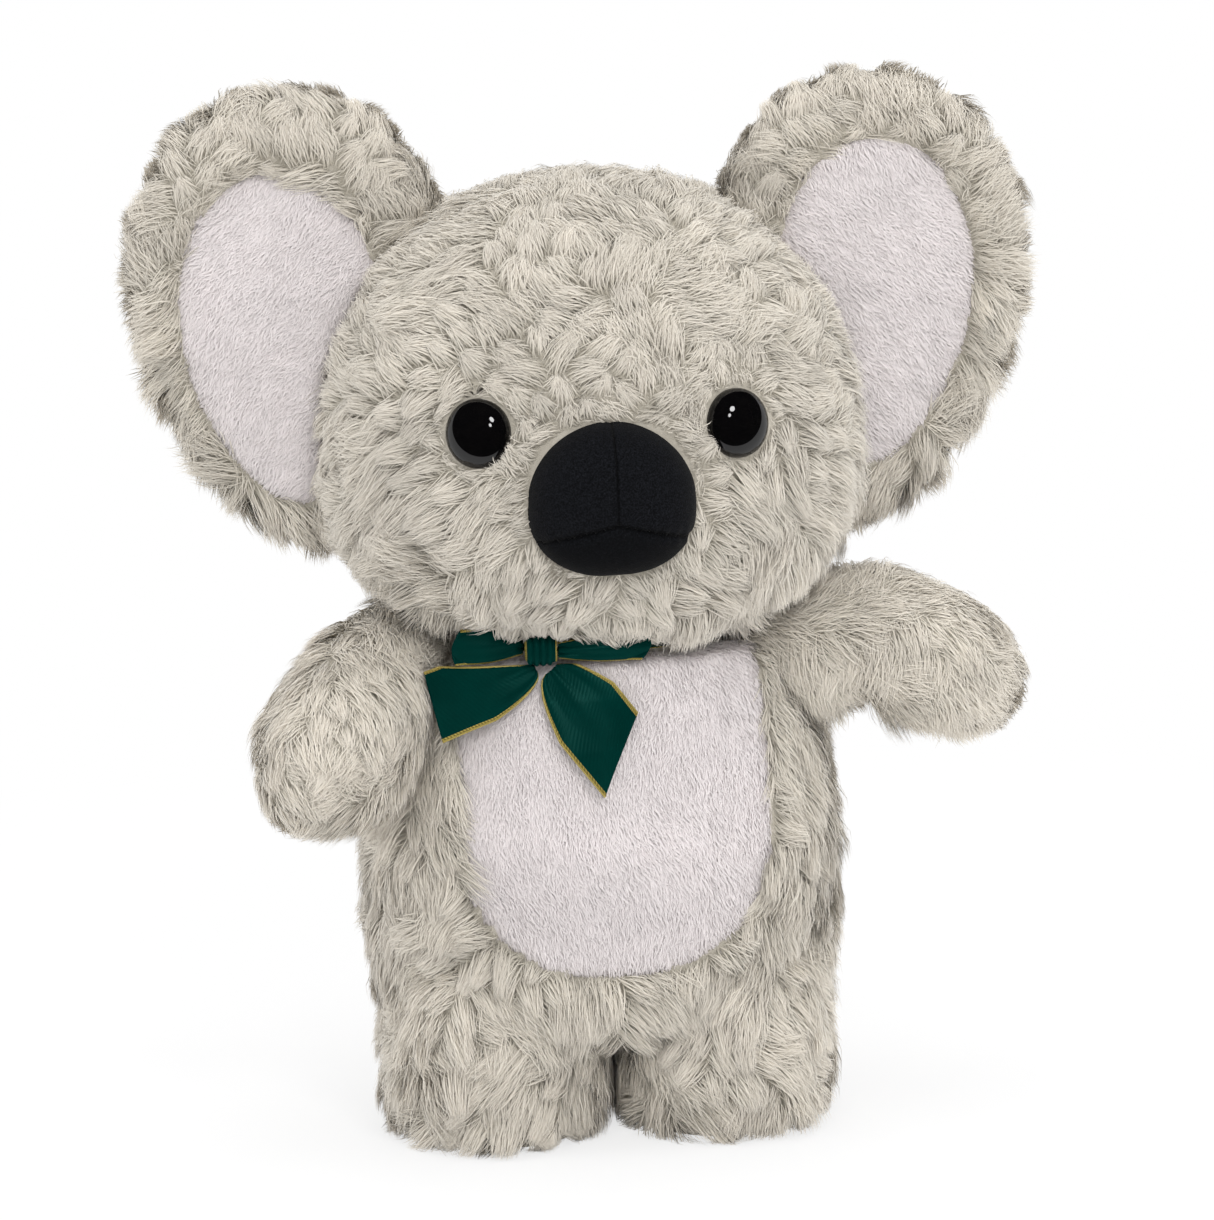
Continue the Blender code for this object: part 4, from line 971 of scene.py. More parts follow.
# Depths and half widths of the slanting seams and of the upright one
SLANT_DEPTH, SLANT_WIDTH = 0.0010, 0.0011
UPRIGHT_DEPTH, UPRIGHT_WIDTH = 0.00030, 0.0008
PUCKER_HEIGHT, PUCKER_SPACING, PUCKER_REACH = 0.00022, 0.0031, 0.0030
# Each cloth panel's node and flat size
NOSE_PANELS = {
    "nose_cloth_lower": ("nose_panel_lower", (0.040, 0.024)),
    "nose_cloth_upper_left": ("nose_panel_upper_left", (0.034, 0.036)),
    "nose_cloth_upper_right": ("nose_panel_upper_right", (0.034, 0.036)),
}


def nose_seam(x):
    """Height of the slanting seams."""
    return float(NOSE_JOIN_Z - NOSE_SEAM_FALL * np.abs(x) / NOSE_HALF_WIDTH)


def nose_panel_at(place):
    """Name of the panel that a place on the nose belongs to."""
    if place.z < nose_seam(place.x):
        return "nose_cloth_lower"
    return "nose_cloth_upper_left" if place.x > 0 else "nose_cloth_upper_right"


def nose_form():
    """Dome of the whole nose, narrower towards its top, with a straight rim behind."""
    around, levels = 112, 40
    turn = 2 * np.pi * np.arange(around) / around
    power = 2 / np.where(np.sin(turn) > 0, NOSE_TOP_POWER, NOSE_POWER)
    across, up = signed_power(np.cos(turn), power), signed_power(np.sin(turn), power)
    share = np.sin(np.pi / 2 * np.arange(0, levels) / levels)
    scale = fall(share, NOSE_DOME_POWER)
    lower_taper = NOSE_TAPER * up * (1 + 1.4 * up)
    narrower = 1 - np.where(up > 0, 1.5 * NOSE_TAPER * np.abs(up) ** 1.5, lower_taper)
    rings = np.zeros((levels, around, 3))
    rings[:, :, 0] = scale[:, None] * NOSE_HALF_WIDTH * across * narrower
    rings[:, :, 1] = NOSE_CENTRE_Y - (share * NOSE_REACH)[:, None]
    rings[:, :, 2] = NOSE_Z + scale[:, None] * NOSE_HALF_HEIGHT * up
    back = rings[0].copy()
    back[:, 1] = NOSE_BACK_Y
    rings = np.concatenate([back[None], rings])
    return loft(rings, (0, NOSE_BACK_Y, NOSE_Z), (0, NOSE_TIP_Y, NOSE_Z))


def seam_move(vertex):
    """How far the stitches draw a point of the nose in, or push it out beside them."""
    x, z = vertex.co.x, vertex.co.z
    slant = abs(z - nose_seam(x))
    upright_seam = abs(x) if z > nose_seam(x) else math.hypot(x, slant)
    deep = math.exp(-((abs(x) / NOSE_HALF_WIDTH - 0.5) / 0.3) ** 2)
    valley = SLANT_DEPTH * (0.35 + 0.65 * deep) * math.exp(-(slant / SLANT_WIDTH) ** 2)
    valley = max(valley, UPRIGHT_DEPTH * math.exp(-(upright_seam / UPRIGHT_WIDTH) ** 2))
    pucker = PUCKER_HEIGHT * math.sin(x * 2 * math.pi / PUCKER_SPACING)
    pucker = pucker * math.exp(-(slant / PUCKER_REACH) ** 2)
    swell = 0.00035 * noise.noise(vertex.co / 0.012)
    return vertex.normal * (pucker * min(1, abs(x) / 0.005) + swell - valley)


def nose_mesh():
    """The whole nose, with edges along its seams."""
    work = bmesh.new()
    work.from_mesh(nose_form().mesh("nose_form"))
    work.verts.ensure_lookup_table()
    back = [f for f in work.faces if f.calc_center_median().y > NOSE_BACK_Y - 0.0005]
    bmesh.ops.delete(work, geom=back, context="FACES")
    joint = {"dist": 2e-5, "plane_co": (0, 0, NOSE_JOIN_Z)}
    everything = work.verts[:] + work.edges[:] + work.faces[:]
    bmesh.ops.bisect_plane(work, geom=everything, plane_no=(1, 0, 0), **joint)
    for side in (1, -1):
        half = [f for f in work.faces if f.calc_center_median().x * side > 0]
        near = {v for f in half for v in f.verts} | {e for f in half for e in f.edges} | set(half)
        slope = (side * NOSE_SEAM_FALL, 0, NOSE_HALF_WIDTH)
        bmesh.ops.bisect_plane(work, geom=list(near), plane_no=slope, **joint)
    work.normal_update()
    moves = [(vertex, seam_move(vertex)) for vertex in work.verts]
    for vertex, move in moves:
        vertex.co += move
    full = bpy.data.meshes.new("nose_full")
    work.to_mesh(full)
    work.free()
    return full


def make_nose():
    full = nose_mesh()
    for name, (node, flat) in NOSE_PANELS.items():
        work = bmesh.new()
        work.from_mesh(full)
        others = [f for f in work.faces if nose_panel_at(f.calc_center_median()) != name]
        bmesh.ops.delete(work, geom=others, context="FACES")
        mesh = bpy.data.meshes.new(name)
        work.to_mesh(mesh)
        area = min(sum(f.calc_area() for f in work.faces), flat[0] * flat[1])
        work.free()
        mesh.shade_smooth()
        made = piece(name, mesh, "nose", "head")
        thickened(made, NOSE_CLOTH)
        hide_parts(node)


# Eyes

def eye_profile():
    """Radius and height of the eye's stem, rim and dome, from below."""
    stem, rim = 0.0020, 0.0010
    profile = [
        (stem, -0.0120), (stem, -0.0004), (EYE_RADIUS * 0.96, -0.0002), (EYE_RADIUS, 0.0002),
        (EYE_RADIUS * 1.005, 0.0006), (EYE_RADIUS, rim)]
    for t in np.pi / 2 * np.arange(1, 20) / 20:
        height = rim + (EYE_HEIGHT - rim) * math.sin(t)
        profile.append((EYE_RADIUS * math.cos(t) * 0.998, height))
    return profile


def make_eyes():
    profile = eye_profile()
    around = 64
    across, up = superellipse(around, 2)
    for side, name in SIDES:
        rings = np.zeros((len(profile), around, 3))
        for k, (radius, height) in enumerate(profile):
            rings[k, :, 0], rings[k, :, 1] = radius * across, radius * up * 1.05
            rings[k, :, 2] = height
        form = loft(rings, (0, 0, profile[0][1]), (0, 0, EYE_HEIGHT))
        mesh = form.mesh(f"eye_dome_{name}")
        mesh.transform(eye_matrix(side))
        if side < 0:
            mesh.flip_normals()
        made = piece(f"eye_dome_{name}", mesh, "eye", "head")
        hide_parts(f"eye_{name}")


# Torso and belly

def torso_sizes(z):
    """Half width and half depth of the torso at a height."""
    share = (z - TORSO_LOW[2]) / (NECK_ROOT_Z - TORSO_LOW[2])
    width = np.interp(share, TORSO_LEVELS[:, 0], TORSO_LEVELS[:, 1]) * TORSO_HALF_WIDTH
    return width, np.interp(share, TORSO_LEVELS[:, 0], TORSO_LEVELS[:, 2]) * TORSO_HALF_DEPTH


def torso_front(x, z):
    width, depth = torso_sizes(z)
    return BODY_Y - depth * fall(np.minimum(np.abs(x) / width, 1), TORSO_PLAN_POWER)


def in_torso(points, margin):
    width, depth = torso_sizes(points[:, 2])
    reach = (np.abs(points[:, 0]) / (width + margin)) ** TORSO_PLAN_POWER
    reach += (np.abs(points[:, 1] - BODY_Y) / (depth + margin)) ** TORSO_PLAN_POWER
    return (reach < 1) & (points[:, 2] > TORSO_LOW[2] - margin) & (points[:, 2] < NECK_Z)


def shoulder(side):
    name = "shoulder_left" if side > 0 else "shoulder_right"
    return np.array([j["pos_m"] for j in frame["joints"] if j["name"] == name][0])


BELLY_CENTRE = np.array((0.0, BELLY_LOW[2] + 0.52 * (BELLY_HIGH[2] - BELLY_LOW[2])))
# The white cloth reaches past its node's outline, by a share upward, to the left and to the right
BELLY_REACH_UP, BELLY_REACH_LEFT, BELLY_REACH_RIGHT = 0.125, 0.060, 0.025
BELLY_RADII = outline_radii("belly_panel", BELLY_CENTRE) * (
    1 + BELLY_REACH_UP * np.maximum(0, np.sin(OUTLINE_TURN)) ** 2
    + BELLY_REACH_LEFT * np.maximum(0, np.cos(OUTLINE_TURN)) ** 2
    + BELLY_REACH_RIGHT * np.maximum(0, -np.cos(OUTLINE_TURN)) ** 2)


def in_belly(points, margin):
    across, up = points[:, 0] - BELLY_CENTRE[0], points[:, 2] - BELLY_CENTRE[1]
    inside = np.hypot(across, up) < radius_at(BELLY_RADII, across, up) + margin
    return inside & (points[:, 1] < BODY_Y)


def torso_form():
    low = np.linspace(0, 0.1, 8)[:-1]
    share = np.concatenate([low, np.linspace(0.1, 1.0, 40), [1.03, 1.083]])
    z = TORSO_LOW[2] + share * (NECK_ROOT_Z - TORSO_LOW[2])
    width, depth = torso_sizes(z)
    for _ in range(2):
        for size in (width, depth):
            size[1:-3] = (size[:-4] + 2 * size[1:-3] + size[2:-2]) / 4
    levels = np.stack([z, width, depth], axis=1)
    form = upright(levels, 96, (0, BODY_Y), TORSO_PLAN_POWER, TORSO_LOW[2], NECK_Z)
    below = form.points[:, 2] < NECK_ROOT_Z - 0.003
    swell = form.lumps(SKIN_LUMP, 0.012) * below
    form.swell(np.where(in_belly(form.points, -0.002), -BELLY_SEAT, swell))
    for side in (1, -1):
        press_shoulder(form, side)
    form.measure()
    return form


def press_shoulder(form, side):
    """Presses the dent that the arm's round root turns in."""
    place = shoulder(side)
    apart = form.points - place
    inside = (ARM_ROOT_RADIUS + 0.001) ** 2 - apart[:, 1] ** 2 - apart[:, 2] ** 2
    dent = place[0] - side * np.sqrt(np.maximum(inside, 0))
    held = (inside > 0) & (np.abs(form.points[:, 0]) > abs(place[0]) - 0.01)
    held &= np.sign(form.points[:, 0]) == side
    deeper = held & (side * form.points[:, 0] > side * dent)
    form.points[deeper, 0] = dent[deeper]


def torso_flow(places):
    """Hair hangs, and parts to the sides of the belly."""
    run = np.tile(np.array((0.0, 0.0, -1.0)), (len(places), 1))
    run[:, 0] += 0.25 * np.sign(places[:, 0]) * (places[:, 1] < BODY_Y)
    return run


def in_leg(points, margin):
    share = (points[:, 2] - LEG_LOW[2]) / (LEG_HIGH[2] - LEG_LOW[2])
    scale = np.interp(share, LEG_LEVELS[:, 0], LEG_LEVELS[:, 1])
    across = np.abs(np.abs(points[:, 0]) - LEG_CENTRE[0]) / (scale * LEG_HALF_WIDTH + margin)
    along = np.abs(points[:, 1] - LEG_CENTRE[1]) / (scale * LEG_HALF_DEPTH + margin)
    return (across**LEG_PLAN_POWER + along**LEG_PLAN_POWER < 1) & (points[:, 2] < LEG_HIGH[2])


def torso_short(places):
    """Hair is shorter under the chin and the bow."""
    under = np.clip((places[:, 2] - TAIL_LOW_Z) / 0.010, 0, 1) * (places[:, 1] < BODY_Y)
    under *= np.clip((0.052 - np.abs(places[:, 0] + 0.006)) / 0.010, 0, 1)
    return 1 - 0.55 * under


def torso_keep(roots, normals):
    """No hair under the belly's panel and the bow, nor where neck, legs and arms are sewn on."""
    clear = ~in_belly(roots, -0.0016) & (roots[:, 2] < NECK_ROOT_Z - 0.0002)
    clear &= ~in_leg(roots, -0.001)
    above = (np.abs(roots[:, 0]) < 0.036) & (roots[:, 2] > BELLY_HIGH[2] - 0.006)
    clear &= ~(above & (roots[:, 1] < BODY_Y))
    for side in (1, -1):
        clear &= np.linalg.norm(roots - shoulder(side), axis=1) > ARM_ROOT_RADIUS + 0.0012
    return clear


def make_torso():
    form = torso_form()
    stuffed_skin("torso_skin", form, "torso_cover", "torso")
    grown = grow(form, long_pile(), torso_flow, torso_keep, 21, torso_short)
    names = [f"torso_pile_{end}_{side}" for end in ("front", "back") for side in ("left", "right")]

    def quarter(roots):
        return (roots[:, 0] < 0) + 2 * (roots[:, 1] > BODY_Y)

    pile_pieces(names, grown, "long_pile", "torso", quarter)


def disc(centre, radii, height, rings):
    """Open surface inside a polar outline, with y from height(x, z, share of the outline)."""
    around = len(radii)
    turn = 2 * np.pi * np.arange(around) / around
    share = np.sin(np.pi / 2 * np.arange(1, rings + 1) / rings)
    x = centre[0] + share[:, None] * radii * np.cos(turn)
    z = centre[1] + share[:, None] * radii * np.sin(turn)
    y = height(x, z, np.broadcast_to(share[:, None], x.shape))
    points = np.stack([x, y, z], axis=-1).reshape(-1, 3)
    middle_x, middle_z = (np.array([[value]]) for value in centre)
    middle_y = float(height(middle_x, middle_z, np.zeros((1, 1)))[0, 0])
    points = np.concatenate([points, [(centre[0], middle_y, centre[1])]])
    grid = np.arange(rings * around).reshape(rings, around)
    after = np.roll(grid, -1, axis=1)
    quads = np.stack([grid[:-1], after[:-1], after[1:], grid[1:]], axis=-1).reshape(-1, 4)
    fan = np.stack([np.full(around, rings * around), after[0], grid[0]], axis=-1)
    form = Form(points, quads, fan, closed=False)
    if form.normals[:, 1].mean() > 0:
        form = Form(points, form.quads[:, ::-1], form.caps[:, ::-1], closed=False)
    return form


def lying(direction):
    """Flow in which all the hair lies in one direction."""
    return lambda places: np.tile(np.array(direction), (len(places), 1))


def belly_height(x, z, share):
    """The belly's panel lies on the torso and turns in at its seam."""
    edge = 0.0016 * np.clip((share - 0.9) / 0.1, 0, 1) ** 2
    return torso_front(x, z) + 0.0002 + edge


def belly_keep(roots, normals):
    """No hair above the neck's root."""
    return roots[:, 2] < NECK_ROOT_Z + 0.0025


def belly_sheen_and_shade(roots):
    """Painted light: a band of painted sheen across the middle, where the pile lies another way, over
    a low part painted darker as shade.
    """
    band_z = BELLY_CENTRE[1] - 0.004 - 0.10 * roots[:, 0]
    band = np.exp(-(((roots[:, 2] - band_z) / 0.007) ** 2))
    band = band * np.clip(1.2 - np.abs(roots[:, 0]) / 0.035, 0, 1)
    return 0.55 * band - 0.28 * np.clip((band_z - roots[:, 2]) / 0.02, 0, 1)


def make_belly():
    form = disc(BELLY_CENTRE, BELLY_RADII, belly_height, 40)
    skin = piece("belly", form.mesh("belly"), "short_backing", "torso")
    thickened(skin, BELLY_CLOTH)
    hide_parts("belly_panel")
    flow = lying((0.1, 0.0, -1.0))
    grown = grow(form, short_pile(), flow, belly_keep, 31, painted_light=belly_sheen_and_shade)
    pile_pieces(["belly_pile"], grown, "short_pile", "torso")


# Arms

# Gather of the tufts' tips and mixing of their roots
ARM_TUFTS = {"left": (0.28, 0.27), "right": (0.34, 0.21)}
# How far the skin stands out from its node, and how much further on its upper side
ARM_SWELL, ARM_TILT = 0.0030, {"left": -0.0010, "right": 0.0022}
# The raised arm is fuller near the shoulder, above (1) and below (-1): height, place and width
RAISED_ARM_BULGES = ((1, 0.0036, 0.031, 0.011), (-1, 0.0050, 0.033, 0.010))
# Length of the rays that find the surface of an arm's node
ARM_RAY = 0.06


def arm_stations(length):
    """Distance from the shoulder and angle to the arm of each ring of rays."""
    stations = [(0.0, math.pi - math.pi / 2 * k / 12) for k in range(1, 12)]
    stations += [(length * k / 20, math.pi / 2) for k in range(1, 20)]
    return stations + [(length, math.pi / 2 * (1 - k / 12)) for k in range(12)]


def arm_rings(tree, root, along, length):
    """Rings on a node's surface, found from outside along rays to its middle line."""
    first = unit(np.cross(along, (0, 1, 0)))
    second = np.cross(along, first)
    around = 56
    rings = []
    for distance, cone in arm_stations(length):
        middle = root + along * distance
        ring = []
        for angle in 2 * np.pi * np.arange(around) / around:
            spoke = first * math.cos(angle) + second * math.sin(angle)
            out = along * math.cos(cone) + spoke * math.sin(cone)
            start = middle + out * ARM_RAY
            found = tree.ray_cast(Vector(start), Vector(-out), ARM_RAY)[3]
            radius = ARM_RAY - found if found is not None else ARM_ROOT_RADIUS
            if distance == 0.0 and cone > 2.2:
                radius = ARM_ROOT_RADIUS
            ring.append(middle + out * radius)
        rings.append(ring)
    rings = np.array(rings)
    for _ in range(3):
        rings = (np.roll(rings, 1, axis=1) + 2 * rings + np.roll(rings, -1, axis=1)) / 4
        rings[1:-1] = (rings[:-2] + 2 * rings[1:-1] + rings[2:]) / 4
    return rings


def arm_form(side, name):
    """Smooth skin over the arm's cover, and the direction of the arm."""
    mesh = frame["nodes"][f"arm_cover_{name}"].data
    points = np.array([v.co for v in mesh.vertices])
    tree = BVHTree.FromPolygons(points.tolist(), [p.vertices[:] for p in mesh.polygons])
    root = shoulder(side)
    reach = np.linalg.norm(points - root, axis=1)
    tip = points[reach.argmax()]
    along = (tip - root) / reach.max()
    rings = arm_rings(tree, root, along, reach.max() - ARM_ROOT_RADIUS)
    form = loft(rings, root - along * ARM_ROOT_RADIUS, tip)
    form.swell(np.full(len(form.points), 0.0004))
    out = np.linalg.norm(form.points - root, axis=1)
    away = out > ARM_ROOT_RADIUS + 0.0004
    share = np.clip(out / 0.040 - 0.40, 0, 1)
    upward = form.normals[:, 2]
    swell = (ARM_SWELL + ARM_TILT[name] * upward) * share + form.lumps(SKIN_LUMP, 0.008) * away
    if side > 0:
        for facing, height, place, width in RAISED_ARM_BULGES:
            bulge = height * np.clip(facing * upward, 0, 1)
            swell += bulge * np.exp(-(((out - place) / width) ** 2)) * away
    form.swell(swell)
    return form, along


def make_arms():
    for side, name in SIDES:
        form, along = arm_form(side, name)
        body = f"arm_{name}"
        stuffed_skin(f"arm_skin_{name}", form, f"arm_cover_{name}", body)
        root = shoulder(side)

        def keep(roots, normals):
            at_root = np.linalg.norm(roots - root, axis=1) < ARM_ROOT_RADIUS + 0.0016
            return ~(at_root & in_torso(roots, 0.001)) & ~in_torso(roots, -0.0015)

        def short_tip(places):
            reach = np.linalg.norm(places - root, axis=1) / 0.060
            return np.clip(1.25 - 0.65 * reach, 0.6, 1.0)

        flow = lying(along + np.array((0, 0, -0.35)))
        gather, mixing = ARM_TUFTS[name]
        # The arms' pile gets a lighter tone than the head's as painted light, for the stronger light
        # that falls on the arms
        pile = long_pile(lift=0.30, tone=0.88, gather=gather, mixing=mixing)
        grown = grow(form, pile, flow, keep, 41 + side, short_tip)
        pile_pieces([f"arm_pile_{name}"], grown, "long_pile", body)


# Legs and soles

# The legs touch above this height, where the skin and the hair stop short of the middle
LEGS_MEET_Z, LEGS_MEET_REACH = 0.0375, 0.0050
LEG_SKIN_GAP, LEG_PILE_GAP = 0.0003, 0.0005


def leg_form(side):
    low_z, high_z = LEG_LOW[2], LEG_HIGH[2]
    share = np.concatenate([np.linspace(0, 0.15, 7)[:-1], np.linspace(0.15, 1.0, 20)])
    scale = np.interp(share, LEG_LEVELS[:, 0], LEG_LEVELS[:, 1])
    z = low_z + share * (high_z - low_z)
    levels = np.stack([z, scale * LEG_HALF_WIDTH, scale * LEG_HALF_DEPTH], axis=1)
    centre = (side * LEG_CENTRE[0], LEG_CENTRE[1])
    form = upright(levels, 72, centre, LEG_PLAN_POWER, low_z, high_z)
    free = (form.points[:, 2] > low_z + 0.001) & (side * form.points[:, 0] > 0.006)
    form.swell(form.lumps(SKIN_LUMP, 0.011) * free)
    closed = (form.points[:, 2] > LEGS_MEET_Z) & (side * form.points[:, 0] < LEGS_MEET_REACH)
    form.points[closed, 0] = side * LEG_SKIN_GAP
    form.measure()
    return form


def make_legs():
    for side, name in SIDES:
        form = leg_form(side)
        stuffed_skin(f"leg_skin_{name}", form, f"leg_cover_{name}", "torso")

        def keep(roots, normals):
            clear = (roots[:, 2] > LEG_LOW[2] + 0.0012) & ~in_torso(roots, -0.001)
            return clear & (normals[:, 2] > -0.9)

        def bounded(points):
            inner = side * points[:, 0] < LEG_PILE_GAP
            points[inner, 0] = side * LEG_PILE_GAP
            return points

        flow = lying((side * 0.35, -0.1, -1.0))
        # The legs' pile gets a lighter tone than the torso's as painted light, for the stronger light
        # that falls on them
        grown = grow(form, long_pile(tone=0.80), flow, keep, 51 + side, bounded=bounded)
        pile_pieces([f"leg_pile_{name}"], grown, "long_pile", "torso")


def make_soles():
    for _, name in SIDES:
        low, high = corners(f"sole_{name}")
        middle, half = (low + high) / 2, (high - low) / 2
        low_z, high_z = low[2] + 0.0001, high[2] - 0.0001
        rows = np.array([
            (low_z, 0.93), (low[2] + 0.0004, 0.975), (low[2] + 0.0010, 1.0),
            (high[2] - 0.0004, 0.985), (high_z, 0.95)])
        levels = np.stack([rows[:, 0], rows[:, 1] * half[0], rows[:, 1] * half[1]], axis=1)
        form = upright(levels, 80, (middle[0], middle[1]), LEG_PLAN_POWER, low_z, high_z)
        sole = piece(f"foot_sole_{name}", form.mesh(f"foot_sole_{name}"), "sole", "torso")
        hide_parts(f"sole_{name}")


# Ears

EAR_RADII = outline_radii("ear_cover_left", EAR_CENTRE)
# The white panel is a little larger than its node, most of all low on its outer side
EAR_PANEL_RADII = outline_radii("ear_panel_left", EAR_CENTRE)
EAR_PANEL_RADII = EAR_PANEL_RADII * 1.02 + 0.0022 * np.cos(OUTLINE_TURN + math.radians(40))
# The right ear's panel is sewn a little lower and further out
EAR_PANEL_SHIFTS = {"left": np.zeros(2), "right": np.array((0.0030, -0.0042))}
EAR_PANEL_DEPTH = 0.0026


def ear_half(share):
    """Half thickness of the ear at a share of its outline."""
    return EAR_HALF_THICKNESS * (0.93 * np.maximum(0, 1 - share**6) ** 0.5 + 0.07 * (1 - share**2))


def on_ear_panel(points, shift, margin):
    across, up = points[:, 0] - EAR_CENTRE[0] - shift[0], points[:, 2] - EAR_CENTRE[1] - shift[1]
    inside = np.hypot(across, up) < radius_at(EAR_PANEL_RADII, across, up) + margin
    return inside & (points[:, 1] < EAR_Y)


def ear_form(shift):
    steps = 30
    out = np.sin(np.pi / 2 * np.arange(1, steps) / steps)
    back = np.sin(np.pi / 2 * np.arange(steps, 0, -1) / steps)
    share = np.concatenate([out, back])
    side = np.concatenate([-np.ones(steps - 1), [0.0], np.ones(steps - 1)])
    rings = np.zeros((len(share), OUTLINE_POINTS, 3))
    rings[:, :, 0] = EAR_CENTRE[0] + share[:, None] * EAR_RADII * np.cos(OUTLINE_TURN)
    rings[:, :, 1] = (EAR_Y + side * ear_half(share))[:, None]
    rings[:, :, 2] = EAR_CENTRE[1] + share[:, None] * EAR_RADII * np.sin(OUTLINE_TURN)
    half = float(ear_half(np.array(0.0)))
    tips = [(EAR_CENTRE[0], EAR_Y + end * half, EAR_CENTRE[1]) for end in (-1, 1)]
    form = loft(rings, *tips)
    front = on_ear_panel(form.points, shift, -0.001)
    form.swell(np.where(front, -EAR_PANEL_DEPTH, form.lumps(0.0010, 0.010)))
    return form


def ear_flow(places):
    """Hair runs out over the rim."""
    run = places - np.array((EAR_CENTRE[0] - 0.012, EAR_Y, EAR_CENTRE[1]))
    run[:, 1] = 0
    return unit(run) + np.array((0, 0.1, -0.15))


def ear_panel_height(x, z, share):
    """The white panel lies just under the ear's face and turns in at its seam."""
    across, up = x - EAR_CENTRE[0], z - EAR_CENTRE[1]
    shown = np.hypot(across, up) / radius_at(EAR_RADII, across, up)
    edge = 0.0012 * np.clip((share - 0.9) / 0.1, 0, 1) ** 2
    return EAR_Y - ear_half(np.minimum(shown, 1)) + 0.0004 + edge


def make_ears():
    """Both ears are made as the left one, and the right one is mirrored."""
    for side, name in SIDES:
        shift = EAR_PANEL_SHIFTS[name]
        form = ear_form(shift)
        panel = disc(EAR_CENTRE + shift, EAR_PANEL_RADII, ear_panel_height, 34)
        skin_form, panel_form = (form, panel) if side > 0 else (form.mirrored(), panel.mirrored())
        body = f"ear_{name}"

        def keep(roots, normals):
            return ~on_ear_panel(roots, shift, -0.0010) & ~in_head(roots, 0.0005)

        stuffed_skin(f"ear_skin_{name}", skin_form, f"ear_cover_{name}", body)
        long = on_side(grow(form, long_pile(lift=0.34), ear_flow, keep, 61), side)
        pile_pieces([f"ear_pile_{name}"], long, "long_pile", body)

        cloth_name = f"ear_white_{name}"
        cloth = piece(cloth_name, panel_form.mesh(cloth_name), "short_backing", body)
        thickened(cloth, EAR_CLOTH)
        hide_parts(f"ear_panel_{name}")
        short = on_side(grow(panel, short_pile(), lying((0.6, 0.0, -0.8)), None, 71), side)
        pile_pieces([f"ear_white_pile_{name}"], short, "short_pile", body)


# Ribbon

# The bow sits a little higher than its nodes, close under the chin
BOW_RAISE = np.array((0, 0, 0.0020))
KNOT_LOW, KNOT_HIGH = (corner + BOW_RAISE for corner in corners("bow_knot"))
KNOT = (KNOT_LOW + KNOT_HIGH) / 2
RIBBON_THICKNESS = 0.0005
THREAD_RADIUS, THREAD_STEP, THREAD_TWIST = 0.00036, 0.00022, 0.0011
# Name, x of the root, width, length, angle in degrees and slant of the cut
TAILS = (
    ("left", -0.0162, 0.0215, 0.0290, 37.5, -0.0060),
    ("right", -0.0208, 0.0180, 0.0300, -70.0, 0.0012),
)
TAIL_ROOT_WIDTH = 0.0040
# How far a tail stands off the belly, and how much further its end does
TAIL_GAP, TAIL_END_GAP = 0.0016, 0.0022
TAIL_WAVE, TAIL_PLEAT, TAIL_CUP = 0.0009, 0.0007, 0.0012
# How far a loop's edges lean, its layers part and its edges turn, and its pleats at the knot
LOOP_LEAN, LOOP_GAPE, LOOP_TURN, LOOP_PLEAT = 0.0016, 0.0017, 0.0012, 0.0006
# How much nearer the middle the neck band's inner fold lies
BAND_FOLD_DEPTH = 0.0018
BAND_RIPPLE, BAND_RIPPLES = 0.00012, 37
KNOT_PLEAT = 0.00035


def distances(path):
    """Distance of each point of a path from its start, along it."""
    steps = np.linalg.norm(np.diff(path, axis=0), axis=1)
    return np.concatenate([[0], np.cumsum(steps)])


def strip(rows, closed):
    """Open surface through rows of points, with u across and v along in metres."""
    length, width, _ = rows.shape
    grid = np.arange(length * width).reshape(length, width)
    after = np.roll(grid, -1, axis=0) if closed else grid[1:]
    before = grid if closed else grid[:-1]
    quads = np.stack([before[:, :-1], before[:, 1:], after[:, 1:], after[:, :-1]], axis=-1)
    form = Form(rows.reshape(-1, 3), quads.reshape(-1, 4), closed=False)
    u, v = np.meshgrid(np.linspace(0, 1, width), distances(rows[:, width // 2]))
    return form, np.stack([u.ravel(), v.ravel()], axis=1)


def ribbon_piece(name, rows, node, closed=False):
    form, uv = strip(rows, closed)
    made = piece(name, form.mesh(name, uv), "satin", "torso")
    thickened(made, RIBBON_THICKNESS, 0)
    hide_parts(node)


def thread(name, path):
    """Twisted gold thread along a path."""
    along = distances(path)
    count = max(8, int(along[-1] / THREAD_STEP))
    spots = np.linspace(0, along[-1], count)
    middle = np.stack([np.interp(spots, along, path[:, k]) for k in range(3)], axis=1)
    run = unit(np.gradient(middle, axis=0))
    first = unit(np.cross(run, (0.0, 1.0, 0.0)))
    second = np.cross(run, first)
    turn = 2 * np.pi * np.arange(8) / 8
    twist = spots[:, None] * 2 * np.pi / THREAD_TWIST
    size = THREAD_RADIUS * (0.78 + 0.22 * np.cos(2 * (turn[None, :] - twist)))
    rings = middle[:, None] + first[:, None] * (size * np.cos(turn))[..., None]
    rings = rings + second[:, None] * (size * np.sin(turn))[..., None]
    form = loft(rings, middle[0], middle[-1])
    return piece(name, form.mesh(name), "gold", "torso")


